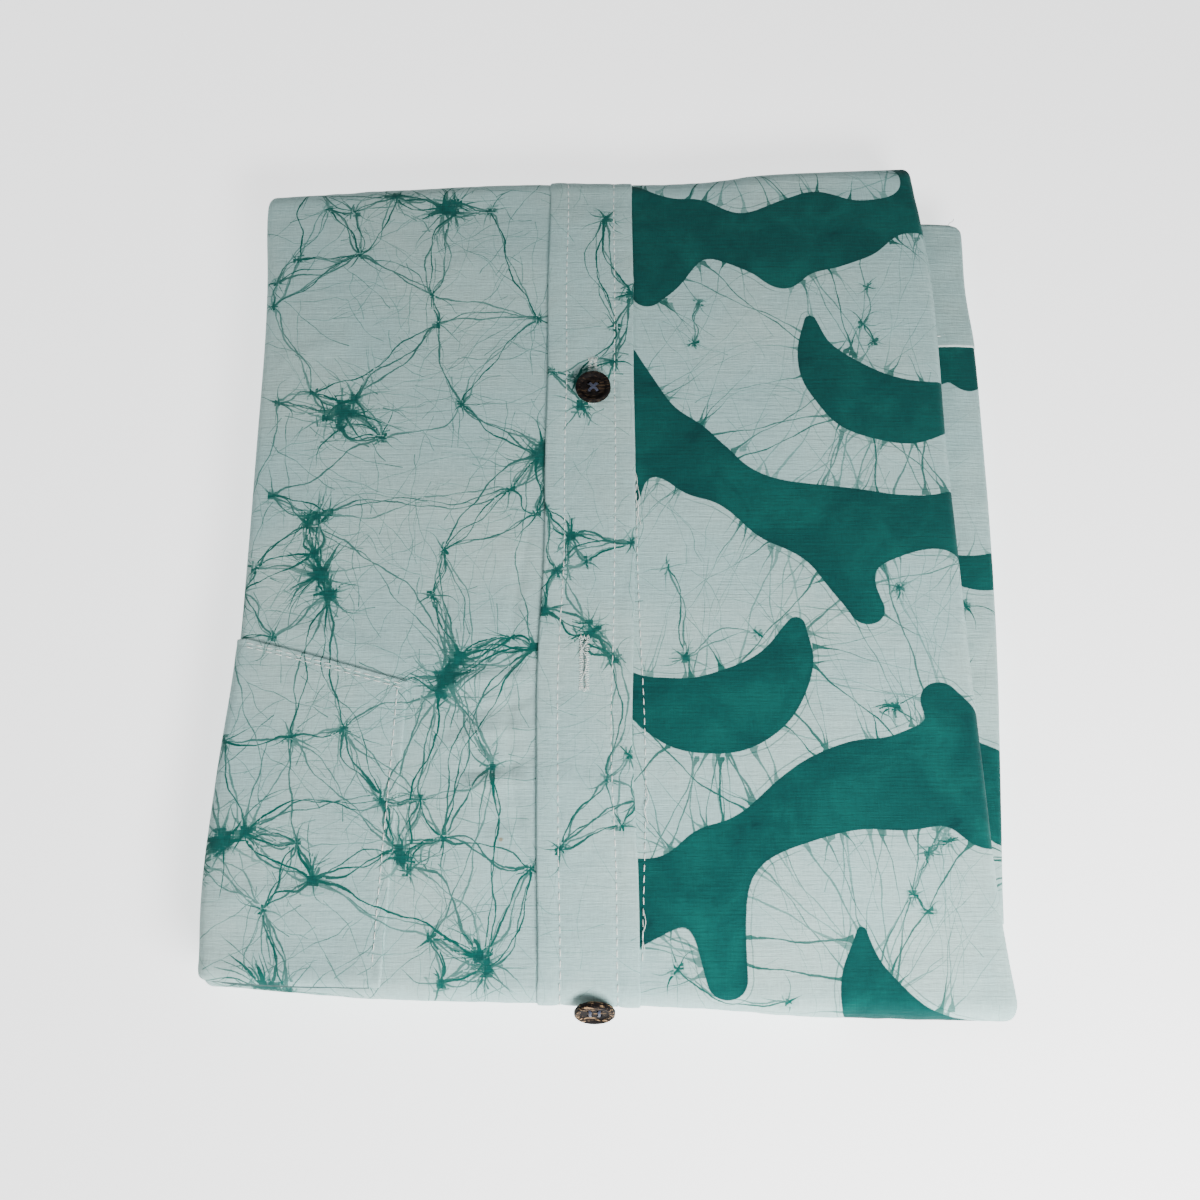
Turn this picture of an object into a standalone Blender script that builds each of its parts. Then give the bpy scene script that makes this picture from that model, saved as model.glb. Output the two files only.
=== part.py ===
"""Folded batik shirt, lying face up on a flat surface.

The shirt's sides and sleeves are folded to the back, then its collar end and its hem end are folded
under. What shows is one long strip of front cloth that runs over the pile, down round a soft roll at
each end, and on underneath. Each front is one thin wall that follows the strip round both ends.

Frame: +Z up, +Y towards the hem fold, +X towards the wearer's right front (the shirt lies with its
collar end nearest -Y). The origin is under the middle of the pile. All sizes are in millimetres and
are turned into metres where vertices are made.
"""

import math

import bmesh
import bpy
from mathutils import Matrix, Vector

MM = 0.001

# ---- Driving sizes ---------------------------------------------------------------------------
PILE_HEIGHT = 18.0          # from the resting face to the flat of the top strip
STRIP_HEIGHT = 6.0          # one folded strip of shirt: two fronts' worth of layers and the back
CROWN = 1.2                 # how much the middle of the top stands above its edges
WALL = 1.0                  # cloth wall
GAP = 0.3                   # clearance at seams and between layers
FOOTPRINT_MIDDLE = (5.6, 23.6)      # middle of the pile in the drafting frame used by the tables

SIDE_ROLL = STRIP_HEIGHT / 2        # radius of the fold down each long side
NEAR_ROLL = STRIP_HEIGHT            # radius of the fold at the collar end: two strips
FAR_ROLL = PILE_HEIGHT / 2          # radius of the fold at the hem end: the whole pile
SIDE_TURN = 110 / 90                # quarter turns that a front follows a long side's roll
LEDGE_TURN = 60 / 90                # the same where the collar end shows underneath
LEDGE = 46.5                # collar end that shows underneath, beyond the hem
HEM_RUN = 238.0             # hem end that lies underneath

PLACKET_LEFT = -19.0        # the band down the centre front
PLACKET_RIGHT = 12.2
BAND_BOW = 1.7              # how far the band bows to the left, about this y
BAND_BOW_Y = -42.0
BAND_BOW_RUN = 42.0
FRONT_SEAM = -15.0          # where the two fronts meet under the band
PRESS_MARGIN = 4.0          # soft step beside the band where the pile takes its thickness

BUTTON_DIAMETER = 12.5      # 20 ligne coconut shell button
BUTTON_THICKNESS = 2.6
BUTTON_HOLE = 1.7
BUTTON_HOLE_SPACING = 2.9
BUTTON_X = -2.4
UPPER_BUTTON_Y = 78.6
FOLD_BUTTON_TILT = 66.0     # degrees that the lower button is turned round the collar end's roll

SLEEVE_TOP = 11.7           # upper face of the sleeve that lies folded behind
SLEEVE_THICKNESS = 3.2
SLEEVE_RUN_IN = 20.0        # sleeve that lies inside the pile
SLEEVE_START = -104.0
BAND_START = 101.5          # seam between sleeve and its band
BAND_END = 154.6
SLOT_REACH = 26.0           # depth of the space that the sleeve lies in

# The long sides' outlines, and the sleeve's: one row per station along the shirt.
SIDES = (
    dict(y=-133.0, left=-118.5, right=126.0, sleeve=123.5),
    dict(y=-98.0, left=-122.5, right=123.5, sleeve=126.0),
    dict(y=-60.0, left=-122.0, right=123.0, sleeve=129.5),
    dict(y=-20.0, left=-120.0, right=122.5, sleeve=133.0),
    dict(y=20.0, left=-120.5, right=122.5, sleeve=135.5),
    dict(y=60.0, left=-121.5, right=122.5, sleeve=137.0),
    dict(y=100.0, left=-122.5, right=123.5, sleeve=138.0),
    dict(y=126.0, left=-124.0, right=123.5, sleeve=137.0),
    dict(y=152.0, left=-126.5, right=122.0, sleeve=138.0),
    dict(y=181.0, left=-127.5, right=119.0, sleeve=137.5),
)

# The two end folds' outlines: one row per station across the shirt.
ENDS = (
    dict(x=-126.0, near=-121.5, far=167.0),
    dict(x=-70.0, near=-126.0, far=171.0),
    dict(x=-30.0, near=-127.0, far=173.0),
    dict(x=12.0, near=-128.0, far=173.0),
    dict(x=40.0, near=-129.5, far=174.0),
    dict(x=62.0, near=-131.0, far=177.5),
    dict(x=120.0, near=-132.5, far=180.5),
)

# The chest pocket, upside down: a row per corner, from the left fold to its inner side.
POCKET_EDGE = (
    dict(x=-117.0, bottom=-13.0, mouth=-120.5),
    dict(x=-96.0, bottom=-18.5, mouth=-122.0),
    dict(x=-62.5, bottom=-28.0, mouth=-123.0),
)
POCKET_SIDE_LEAN = 3.2      # how far the inner side leans outwards at the mouth
POCKET_MOUTH_ROWS = (0.0, 0.015, 0.03, 0.045)   # shares of its height where it follows the end roll

# The hidden layers, from the bottom up: how far each level stands in from the outer cloth.
LEVELS = (
    dict(z=2.9, side=2.4, near=58.0, slot=0.0),
    dict(z=3.7, side=1.7, near=55.8, slot=0.0),
    dict(z=5.3, side=1.1, near=54.9, slot=0.0),
    dict(z=5.9, side=2.8, near=55.4, slot=0.0),
    dict(z=6.5, side=1.4, near=55.4, slot=0.0),
    dict(z=7.35, side=2.6, near=56.0, slot=0.0),
    dict(z=7.7, side=2.5, near=None, slot=0.0),
    dict(z=8.1, side=1.9, near=None, slot=0.0),
    dict(z=8.35, side=1.5, near=None, slot=1.0),
    dict(z=9.0, side=1.4, near=None, slot=1.0),
    dict(z=10.2, side=1.9, near=None, slot=1.0),
    dict(z=11.2, side=3.4, near=None, slot=1.0),
    dict(z=12.1, side=3.6, near=None, slot=1.0),
    dict(z=12.4, side=3.6, near=None, slot=0.0),
    dict(z=13.3, side=3.2, near=None, slot=0.0),
    dict(z=14.0, side=1.8, near=None, slot=0.0),
    dict(z=15.0, side=1.4, near=None, slot=0.0),
    dict(z=16.0, side=1.8, near=None, slot=0.0),
    dict(z=16.6, side=3.2, near=None, slot=0.0),
)


# ---- Small tools -----------------------------------------------------------------------------
def mix(a, b, share):
    return a + (b - a) * share


def smooth(share):
    share = min(max(share, 0.0), 1.0)
    return share * share * (3 - 2 * share)


def reading(table, key, column, value):
    """The table's column at value, on a smooth curve through its rows."""
    rows = [(row[key], row[column]) for row in table]
    if value <= rows[0][0]:
        return rows[0][1]
    for index in range(len(rows) - 1):
        (x0, y0), (x1, y1) = rows[index], rows[index + 1]
        if value <= x1:
            before = rows[max(index - 1, 0)]
            after = rows[min(index + 2, len(rows) - 1)]
            slope0 = (y1 - before[1]) / (x1 - before[0])
            slope1 = (after[1] - y0) / (after[0] - x0)
            share = (value - x0) / (x1 - x0)
            run = x1 - x0
            return (
                y0 * (1 + 2 * share) * (1 - share) ** 2
                + slope0 * run * share * (1 - share) ** 2
                + y1 * share * share * (3 - 2 * share)
                + slope1 * run * share * share * (share - 1)
            )
    return rows[-1][1]


def left_edge(y):
    return reading(SIDES, "y", "left", y)


def right_edge(y):
    return reading(SIDES, "y", "right", y)


def sleeve_edge(y):
    return reading(SIDES, "y", "sleeve", y)


def near_edge(x):
    return reading(ENDS, "x", "near", x)


def far_edge(x):
    return reading(ENDS, "x", "far", x)


def steps(start, end, count):
    return [mix(start, end, index / count) for index in range(count + 1)]


def spot(x, y, z):
    """A drafting position as a vertex position in metres, with the origin under the pile."""
    return Vector((x - FOOTPRINT_MIDDLE[0], y - FOOTPRINT_MIDDLE[1], z)) * MM


# ---- The strip's surface ---------------------------------------------------------------------
def across_at(x, y):
    """The across coordinate of a place on the flat: 0 and 1 are the tops of the long sides' rolls."""
    left = left_edge(y) + SIDE_ROLL
    right = right_edge(y) - SIDE_ROLL
    return (x - left) / (right - left)


def along_at(x, y):
    """The along coordinate of a place seen from above: 0 and 1 are the tops of the end rolls, and
    below 0 it is on the upper part of the collar end's roll."""
    near = near_edge(x) + NEAR_ROLL
    far = far_edge(x) - FAR_ROLL
    if y < near:
        return -math.asin(min((near - y) / NEAR_ROLL, 1.0)) * 2 / math.pi
    return (y - near) / (far - near)


def section(across, y, lift):
    """Place across the strip and depth below its face. Beyond 0 and 1 the cloth follows the roll,
    one unit for each quarter turn."""
    left = left_edge(y)
    right = right_edge(y)
    if across < 0:
        turn = -across * math.pi / 2
        x = left + SIDE_ROLL - (SIDE_ROLL + lift) * math.sin(turn)
        depth = SIDE_ROLL - (SIDE_ROLL + lift) * math.cos(turn)
    elif across > 1:
        turn = (across - 1) * math.pi / 2
        x = right - SIDE_ROLL + (SIDE_ROLL + lift) * math.sin(turn)
        depth = SIDE_ROLL - (SIDE_ROLL + lift) * math.cos(turn)
    else:
        x = mix(left + SIDE_ROLL, right - SIDE_ROLL, across)
        depth = -lift
    return x, depth


def band_press(x):
    """1 under the placket band and 0 beside it: where the pile underneath gives way to the band."""
    into = smooth((x - PLACKET_LEFT + PRESS_MARGIN) / PRESS_MARGIN)
    out = smooth((PLACKET_RIGHT + PRESS_MARGIN - x) / PRESS_MARGIN)
    return into * out * (WALL + GAP)


def crown(across, along):
    share_x = min(max(across, 0.0), 1.0)
    share_y = min(max(along, 0.0), 1.0)
    return CROWN * (16 * share_x * (1 - share_x) * share_y * (1 - share_y)) ** 0.7


def end_axes(across, lift):
    """The y of the two end rolls' axes at a place across the strip, and the x there."""
    axes = []
    for edge, roll, start in ((near_edge, NEAR_ROLL, -120.0), (far_edge, -FAR_ROLL, 165.0)):
        y = start
        for _ in range(3):
            x, _depth = section(across, y, lift)
            y = edge(x) + roll
        axes.append(y)
    return axes


def on_strip(across, along, lift):
    """A point on the shirt's outer cloth, lift outwards. Along runs 0 to 1 on top, -2 to 0 round the
    collar end, 1 to 3 round the hem end, and on underneath past -2 and past 3."""
    near_axis, far_axis = end_axes(across, lift)
    if along < -2:
        y = near_axis + (-along - 2) * LEDGE
        x, depth = section(across, y, lift)
        return spot(x, y, PILE_HEIGHT - 2 * NEAR_ROLL + depth)
    if along < 0:
        x, depth = section(across, near_axis, lift)
        turn = -along * math.pi / 2
        reach = NEAR_ROLL - depth
        return spot(x, near_axis - reach * math.sin(turn), PILE_HEIGHT - NEAR_ROLL + reach * math.cos(turn))
    if along <= 1:
        y = mix(near_axis, far_axis, along)
        x, depth = section(across, y, lift)
        return spot(x, y, PILE_HEIGHT - depth + crown(across, along))
    if along <= 3:
        x, depth = section(across, far_axis, lift)
        turn = (along - 1) * math.pi / 2
        reach = FAR_ROLL - depth - band_press(x) * smooth(along - 2)
        return spot(x, far_axis + reach * math.sin(turn), FAR_ROLL + reach * math.cos(turn))
    y = far_axis - (along - 3) * HEM_RUN
    x, depth = section(across, y, lift)
    return spot(x, y, depth + band_press(x))


# ---- Building pieces -------------------------------------------------------------------------
def fabric(name, colour, roughness=0.9):
    material = bpy.data.materials.new(name)
    material.use_nodes = True
    shader = material.node_tree.nodes["Principled BSDF"]
    shader.inputs["Base Color"].default_value = (*colour, 1.0)
    shader.inputs["Roughness"].default_value = roughness
    shader.inputs["Metallic"].default_value = 0.0
    return material


def as_object(name, bm, material, collection):
    bmesh.ops.remove_doubles(bm, verts=bm.verts, dist=1e-7)
    bmesh.ops.recalc_face_normals(bm, faces=bm.faces)
    mesh = bpy.data.meshes.new(name)
    bm.to_mesh(mesh)
    bm.free()
    mesh.materials.append(material)
    mesh.shade_smooth()
    mesh.set_sharp_from_angle(angle=math.radians(40))
    piece = bpy.data.objects.new(name, mesh)
    collection.objects.link(piece)
    return piece


def wall(name, outer, inner, material, collection):
    """A closed wall between two grids of points with the same rows and columns."""
    bm = bmesh.new()
    top = [[bm.verts.new(point) for point in row] for row in outer]
    low = [[bm.verts.new(point) for point in row] for row in inner]
    last_row = len(top) - 1
    last_column = len(top[0]) - 1
    for r in range(last_row):
        for c in range(last_column):
            bm.faces.new((top[r][c], top[r][c + 1], top[r + 1][c + 1], top[r + 1][c]))
            bm.faces.new((low[r][c], low[r + 1][c], low[r + 1][c + 1], low[r][c + 1]))
    for r in range(last_row):
        for c in (0, last_column):
            bm.faces.new((top[r][c], top[r + 1][c], low[r + 1][c], low[r][c]))
    for c in range(last_column):
        for r in (0, last_row):
            bm.faces.new((top[r][c], top[r][c + 1], low[r][c + 1], low[r][c]))
    return as_object(name, bm, material, collection)


def strip_wall(name, rows, columns, lift, material, collection):
    """A wall on the strip's surface. columns gives the across coordinates for an along coordinate."""
    outer = [[on_strip(a, t, lift + WALL) for a in columns(t)] for t in rows]
    inner = [[on_strip(a, t, lift) for a in columns(t)] for t in rows]
    return wall(name, outer, inner, material, collection)


def full_run():
    """Along coordinates from the collar end's ledge, over the top, to the hem underneath."""
    ledge = steps(-3.0, -2.0, 3)
    near_turn = steps(-2.0, 0.0, 8)
    top = steps(0.0, 1.0, 14)
    far_turn = steps(1.0, 3.0, 10)
    hem = steps(3.0, 4.0, 9)
    return ledge[:-1] + near_turn[:-1] + top[:-1] + far_turn[:-1] + hem


def station(along):
    """The drafting y that an along coordinate is nearest to, for reading the side tables."""
    if along < -2:
        return near_edge(0) + NEAR_ROLL + (-along - 2) * LEDGE
    if along <= 1:
        return mix(near_edge(0) + NEAR_ROLL, far_edge(0) - FAR_ROLL, max(along, 0.0))
    return far_edge(0) - FAR_ROLL - max(along - 3, 0.0) * HEM_RUN


def side_turn(along):
    """How far a front follows the long side's roll: less beside the sleeve, under the collar end."""
    return mix(SIDE_TURN, LEDGE_TURN, smooth((-2 - along) / 0.35))


# ---- The shirt's pieces ----------------------------------------------------------------------
def front_left(material, collection):
    def columns(along):
        seam = across_at(FRONT_SEAM - GAP / 2, station(along))
        margin = across_at(PLACKET_LEFT - PRESS_MARGIN, station(along))
        return steps(-side_turn(along), 0.0, 4)[:-1] + steps(0.0, margin, 4)[:-1] + steps(margin, seam, 3)

    return strip_wall("front_left", full_run(), columns, -WALL, material, collection)


def front_right(material, collection):
    def columns(along):
        seam = across_at(FRONT_SEAM + GAP / 2, station(along))
        band = across_at(PLACKET_RIGHT, station(along))
        margin = across_at(PLACKET_RIGHT + PRESS_MARGIN, station(along))
        under = steps(seam, band, 2)[:-1] + steps(band, margin, 2)[:-1]
        return under + steps(margin, 1.0, 5)[:-1] + steps(1.0, 1 + side_turn(along), 4)

    return strip_wall("front_right", full_run(), columns, -WALL, material, collection)


def placket(material, collection):
    def columns(along):
        y = station(along)
        bow = 0.0
        if 0 <= along <= 1:
            bow = BAND_BOW * math.exp(-(((y - BAND_BOW_Y) / BAND_BOW_RUN) ** 2))
        return steps(across_at(PLACKET_LEFT - bow, y), across_at(PLACKET_RIGHT - bow, y), 4)

    return strip_wall("placket", full_run(), columns, GAP, material, collection)


def pocket(material, collection):
    """A patch on the left front. Its fold side goes round the left roll, and its mouth is on the
    upper part of the collar end's roll."""
    side = POCKET_EDGE[-1]["x"]
    rows = []
    for share in (*POCKET_MOUTH_ROWS, *steps(0.125, 1.0, 7)):
        row = []
        for turn in steps(-0.95, 0.0, 3)[:-1]:
            row.append((turn, POCKET_EDGE[0]["x"], share))
        for x in steps(POCKET_EDGE[0]["x"], side - POCKET_SIDE_LEAN * (1 - share), 6):
            row.append((None, x, share))
        rows.append(row)

    def place(turn, x, share, lift):
        mouth = reading(POCKET_EDGE, "x", "mouth", x)
        bottom = reading(POCKET_EDGE, "x", "bottom", x)
        y = mix(mouth, bottom, share)
        across = across_at(x, y) if turn is None else turn
        return on_strip(across, along_at(x, y), lift)

    outer = [[place(*entry, GAP + WALL) for entry in row] for row in rows]
    inner = [[place(*entry, GAP) for entry in row] for row in rows]
    return wall("pocket", outer, inner, material, collection)


def sleeve_section(y, shrink, corner):
    """The sleeve's U from its upper layer round the fold to its lower layer, shrink inside."""
    radius = SLEEVE_THICKNESS / 2
    middle = SLEEVE_TOP - radius
    outer_x = sleeve_edge(y) - corner
    inner_x = sleeve_edge(y) - SLEEVE_RUN_IN
    points = []
    for x in steps(inner_x, outer_x - radius, 4)[:-1]:
        points.append(spot(x, y, middle + radius - shrink))
    for turn in steps(0.0, math.pi, 6):
        reach = radius - shrink
        x = outer_x - radius + reach * math.sin(turn)
        points.append(spot(x, y, middle + reach * math.cos(turn)))
    for x in steps(outer_x - radius, inner_x, 4)[1:]:
        points.append(spot(x, y, middle - radius + shrink))
    return points


def sleeve_piece(name, stations, corner_radius, material, collection):
    """One length of the flattened sleeve. corner_radius rounds its outer corner at the last row."""
    outer = []
    inner = []
    for y in stations:
        past = max(y - (stations[-1] - corner_radius), 0.0)
        corner = corner_radius - math.sqrt(max(corner_radius ** 2 - past ** 2, 0.0))
        outer.append(sleeve_section(y, 0.0, corner))
        inner.append(sleeve_section(y, WALL, corner))
    return wall(name, outer, inner, material, collection)


def sleeve(material, collection):
    stations = steps(SLEEVE_START, BAND_START - GAP, 9)
    return sleeve_piece("sleeve_right", stations, 0.0, material, collection)


def sleeve_band(material, collection):
    corner = 3.6
    stations = steps(BAND_START, BAND_END - corner, 4)[:-1] + steps(BAND_END - corner, BAND_END, 3)
    return sleeve_piece("sleeve_band", stations, corner, material, collection)


def level_outline(level):
    """One closed outline of the hidden layers, with rounded corners."""
    z = level["z"]
    near_depth = NEAR_ROLL - WALL - GAP
    far_depth = FAR_ROLL - WALL - 2 * GAP
    rise = z - (PILE_HEIGHT - NEAR_ROLL)
    near = level["near"]
    if near is None:
        near = NEAR_ROLL - math.sqrt(max(near_depth ** 2 - rise ** 2, 0.0))
    far = FAR_ROLL - math.sqrt(max(far_depth ** 2 - (z - FAR_ROLL) ** 2, 0.0))
    far += (WALL + GAP) * smooth((FAR_ROLL + 2 - z) / FAR_ROLL)
    corner = 4.5

    def point(share_x, share_y, shift_x, shift_y, slot):
        x = mix(-122.0, 122.0, share_x)
        y = 0.0
        for _ in range(3):
            low = near_edge(x) + near
            high = far_edge(x) - far
            y = mix(low + corner, high - corner, share_y) + shift_y * corner
            start = left_edge(y) + level["side"] + corner
            end = right_edge(y) - level["side"] - corner - slot
            x = mix(start, end, share_x) + shift_x * corner
        return spot(x, y, z)

    def turn_corner(share_x, share_y, start):
        angles = steps(start, start - 90, 3)
        return [
            point(share_x, share_y, math.cos(math.radians(a)), math.sin(math.radians(a)), 0.0)
            for a in angles
        ]

    outline = []
    outline += turn_corner(0, 0, 270)
    outline += [point(0, share, -1, 0, 0.0) for share in steps(0, 1, 9)[1:-1]]
    outline += turn_corner(0, 1, 180)
    outline += [point(share, 1, 0, 1, 0.0) for share in steps(0, 1, 12)[1:-1]]
    outline += turn_corner(1, 1, 90)
    low = near_edge(120) + near + corner
    high = far_edge(120) - far - corner
    stops = [BAND_END + 4, BAND_END + 1.5] + steps(BAND_END, SLEEVE_START, 9)[1:-1]
    stops += [SLEEVE_START - 1.5, SLEEVE_START - 4]
    for index, y in enumerate(stops):
        inside = 0 < index < len(stops) - 1
        reach = SLOT_REACH * level["slot"] if inside else 0.0
        share = (y - low) / (high - low)
        if level["near"] is not None:
            share = 1 - (index + 1) / (len(stops) + 1)
        outline.append(point(1, share, 1, 0, reach))
    outline += turn_corner(1, 0, 0)
    outline += [point(share, 0, 0, -1, 0.0) for share in steps(1, 0, 12)[1:-1]]
    return outline


def folded_layers(material, collection):
    """Everything that the outer cloth hides, as one rounded pile with grooves between its layers."""
    bm = bmesh.new()
    rings = [[bm.verts.new(point) for point in level_outline(level)] for level in LEVELS]
    count = len(rings[0])
    for low, high in zip(rings, rings[1:]):
        for index in range(count):
            after = (index + 1) % count
            bm.faces.new((low[index], low[after], high[after], high[index]))
    bm.faces.new(rings[0])
    bm.faces.new(rings[-1])
    return as_object("folded_layers", bm, material, collection)


# ---- Buttons ---------------------------------------------------------------------------------
BUTTON_PROFILE = (
    dict(radius=0.62, height=-0.50),
    dict(radius=0.92, height=-0.34),
    dict(radius=1.00, height=-0.06),
    dict(radius=0.98, height=0.34),
    dict(radius=0.90, height=0.50),
    dict(radius=0.78, height=0.40),
    dict(radius=0.66, height=0.16),
)


def button_solid(collection, cutters):
    """A turned button with a raised rim, pierced by four holes. Its face looks along +Z."""
    bm = bmesh.new()
    segments = 32
    radius = BUTTON_DIAMETER / 2
    rings = []
    for row in BUTTON_PROFILE:
        ring = []
        for index in range(segments):
            angle = 2 * math.pi * index / segments
            ring.append(bm.verts.new(Vector((
                row["radius"] * radius * math.cos(angle),
                row["radius"] * radius * math.sin(angle),
                row["height"] * BUTTON_THICKNESS,
            )) * MM))
        rings.append(ring)
    for low, high in zip(rings, rings[1:]):
        for index in range(segments):
            after = (index + 1) % segments
            bm.faces.new((low[index], low[after], high[after], high[index]))
    bm.faces.new(rings[0])
    bm.faces.new(rings[-1])
    bmesh.ops.recalc_face_normals(bm, faces=bm.faces)
    mesh = bpy.data.meshes.new("button_blank")
    bm.to_mesh(mesh)
    bm.free()
    blank = bpy.data.objects.new("button_blank", mesh)
    collection.objects.link(blank)
    for corner in range(4):
        angle = math.pi / 4 + corner * math.pi / 2
        bpy.ops.mesh.primitive_cylinder_add(
            vertices=12,
            radius=BUTTON_HOLE / 2 * MM,
            depth=4 * BUTTON_THICKNESS * MM,
            location=(
                BUTTON_HOLE_SPACING / math.sqrt(2) * math.cos(angle) * MM,
                BUTTON_HOLE_SPACING / math.sqrt(2) * math.sin(angle) * MM,
                0.0,
            ),
        )
        drill = bpy.context.active_object
        drill.name = f"drill_{corner}"
        drill.hide_render = True
        drill.display_type = "WIRE"
        for owner in list(drill.users_collection):
            owner.objects.unlink(drill)
        cutters.objects.link(drill)
        cut = blank.modifiers.new(f"hole_{corner}", "BOOLEAN")
        cut.operation = "DIFFERENCE"
        cut.solver = "EXACT"
        cut.object = drill
    bpy.context.view_layer.update()
    evaluated = blank.evaluated_get(bpy.context.evaluated_depsgraph_get())
    solid = bpy.data.meshes.new_from_object(evaluated)
    bpy.data.objects.remove(blank)
    return solid


def button(name, solid, placement, material, collection):
    mesh = solid.copy()
    mesh.name = name
    mesh.materials.clear()
    mesh.materials.append(material)
    mesh.shade_smooth()
    mesh.set_sharp_from_angle(angle=math.radians(35))
    piece = bpy.data.objects.new(name, mesh)
    piece.matrix_world = placement
    collection.objects.link(piece)
    return piece


def upper_button_placement():
    across = across_at(BUTTON_X, UPPER_BUTTON_Y)
    along = along_at(BUTTON_X, UPPER_BUTTON_Y)
    lift = GAP + WALL + GAP + BUTTON_THICKNESS / 2
    return Matrix.Translation(on_strip(across, along, lift + 0.1))


def fold_button_placement():
    across = across_at(BUTTON_X + 0.8, station(0.0))
    lift = GAP + WALL + GAP + BUTTON_THICKNESS / 2
    centre = on_strip(across, -FOLD_BUTTON_TILT / 90, lift + 0.1)
    return Matrix.Translation(centre) @ Matrix.Rotation(math.radians(FOLD_BUTTON_TILT), 4, "X")


# ---- Assembly --------------------------------------------------------------------------------
def new_collection(name):
    collection = bpy.data.collections.new(name)
    bpy.context.scene.collection.children.link(collection)
    return collection


def build():
    for old in list(bpy.data.objects):
        bpy.data.objects.remove(old)
    shirt = new_collection("folded_batik_shirt")
    cutters = new_collection("cutters")

    pale = fabric("pale_cotton", (0.36, 0.44, 0.43))
    pale_left = fabric("pale_cotton_left", (0.40, 0.49, 0.48))
    band_cloth = fabric("pale_cotton_band", (0.33, 0.41, 0.40))
    pocket_cloth = fabric("pale_cotton_pocket", (0.43, 0.52, 0.50))
    sleeve_cloth = fabric("pale_cotton_sleeve", (0.34, 0.41, 0.40))
    inner_cloth = fabric("pale_cotton_inside", (0.30, 0.37, 0.36))
    coconut = fabric("coconut_shell", (0.035, 0.026, 0.022), roughness=0.55)

    folded_layers(inner_cloth, shirt)
    front_left(pale_left, shirt)
    front_right(pale, shirt)
    placket(band_cloth, shirt)
    pocket(pocket_cloth, shirt)
    sleeve(sleeve_cloth, shirt)
    sleeve_band(sleeve_cloth, shirt)

    solid = button_solid(shirt, cutters)
    button("button_upper", solid, upper_button_placement(), coconut, shirt)
    button("button_fold", solid, fold_button_placement(), coconut, shirt)


build()
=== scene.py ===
"""The looks of a folded batik shirt: crackled and figured cotton, stitching and coconut buttons.

The cloth pieces are thin shells on the strip surface that the folded shirt follows: over the top,
round a soft roll at each end, and on underneath. Sizes are in millimetres in a drafting frame and
become metres when a mesh is made. The dye pattern is drawn in cloth coordinates, which run along
the unrolled cloth, so that it passes round the folds.
"""

import math

import bpy
import numpy as np
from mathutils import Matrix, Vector


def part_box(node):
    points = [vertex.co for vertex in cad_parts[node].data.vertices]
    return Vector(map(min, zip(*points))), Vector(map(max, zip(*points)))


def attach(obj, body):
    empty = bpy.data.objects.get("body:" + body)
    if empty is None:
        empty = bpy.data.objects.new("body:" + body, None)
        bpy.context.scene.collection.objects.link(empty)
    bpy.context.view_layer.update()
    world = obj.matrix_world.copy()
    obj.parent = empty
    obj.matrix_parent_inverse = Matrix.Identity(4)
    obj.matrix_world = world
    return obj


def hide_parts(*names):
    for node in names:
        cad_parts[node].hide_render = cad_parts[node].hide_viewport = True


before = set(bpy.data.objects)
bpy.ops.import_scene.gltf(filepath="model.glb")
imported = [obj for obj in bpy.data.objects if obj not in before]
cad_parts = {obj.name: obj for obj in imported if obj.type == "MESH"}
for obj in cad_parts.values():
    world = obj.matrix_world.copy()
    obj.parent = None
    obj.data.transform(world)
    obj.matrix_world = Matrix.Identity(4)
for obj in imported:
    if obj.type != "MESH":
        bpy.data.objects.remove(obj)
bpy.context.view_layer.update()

MM = 0.001

# ---- The folded shirt's sizes, as the solids have them ----
PILE_HEIGHT = 18.0
SIDE_ROLL = 3.0
NEAR_ROLL = 6.0
FAR_ROLL = 9.0
CROWN = 1.2
SIDE_TURN = 110 / 90
LEDGE_TURN = 60 / 90
LEDGE = 46.5
HEM_RUN = 238.0
FOOTPRINT_MIDDLE = (5.6, 23.6)

BAND_LEFT = -19.0
BAND_RIGHT = 12.2
BAND_BOW = 1.7
BAND_BOW_Y = -42.0
BAND_BOW_RUN = 42.0
BAND_PRESS = 1.3
PRESS_MARGIN = 4.0
FRONT_SEAM = -15.0
FRONT_SEAM_GAP = 0.15       # each front stops this far from the seam's middle

SLEEVE_TOP = 11.7
SLEEVE_THICKNESS = 3.2
SLEEVE_RUN_IN = 20.0
SLEEVE_START = -104.0
BAND_START = 101.5
BAND_END = 154.6

# Long sides: y, left, right, sleeve. End folds: x, near, far.
SIDES = np.array([
    (-133.0, -118.5, 126.0, 123.5),
    (-98.0, -122.5, 123.5, 126.0),
    (-60.0, -122.0, 123.0, 129.5),
    (-20.0, -120.0, 122.5, 133.0),
    (20.0, -120.5, 122.5, 135.5),
    (60.0, -121.5, 122.5, 137.0),
    (100.0, -122.5, 123.5, 138.0),
    (126.0, -124.0, 123.5, 137.0),
    (152.0, -126.5, 122.0, 138.0),
    (181.0, -127.5, 119.0, 137.5),
])
ENDS = np.array([
    (-126.0, -121.5, 167.0),
    (-70.0, -126.0, 171.0),
    (-30.0, -127.0, 173.0),
    (12.0, -128.0, 173.0),
    (40.0, -129.5, 174.0),
    (62.0, -131.0, 177.5),
    (120.0, -132.5, 180.5),
])

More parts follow.
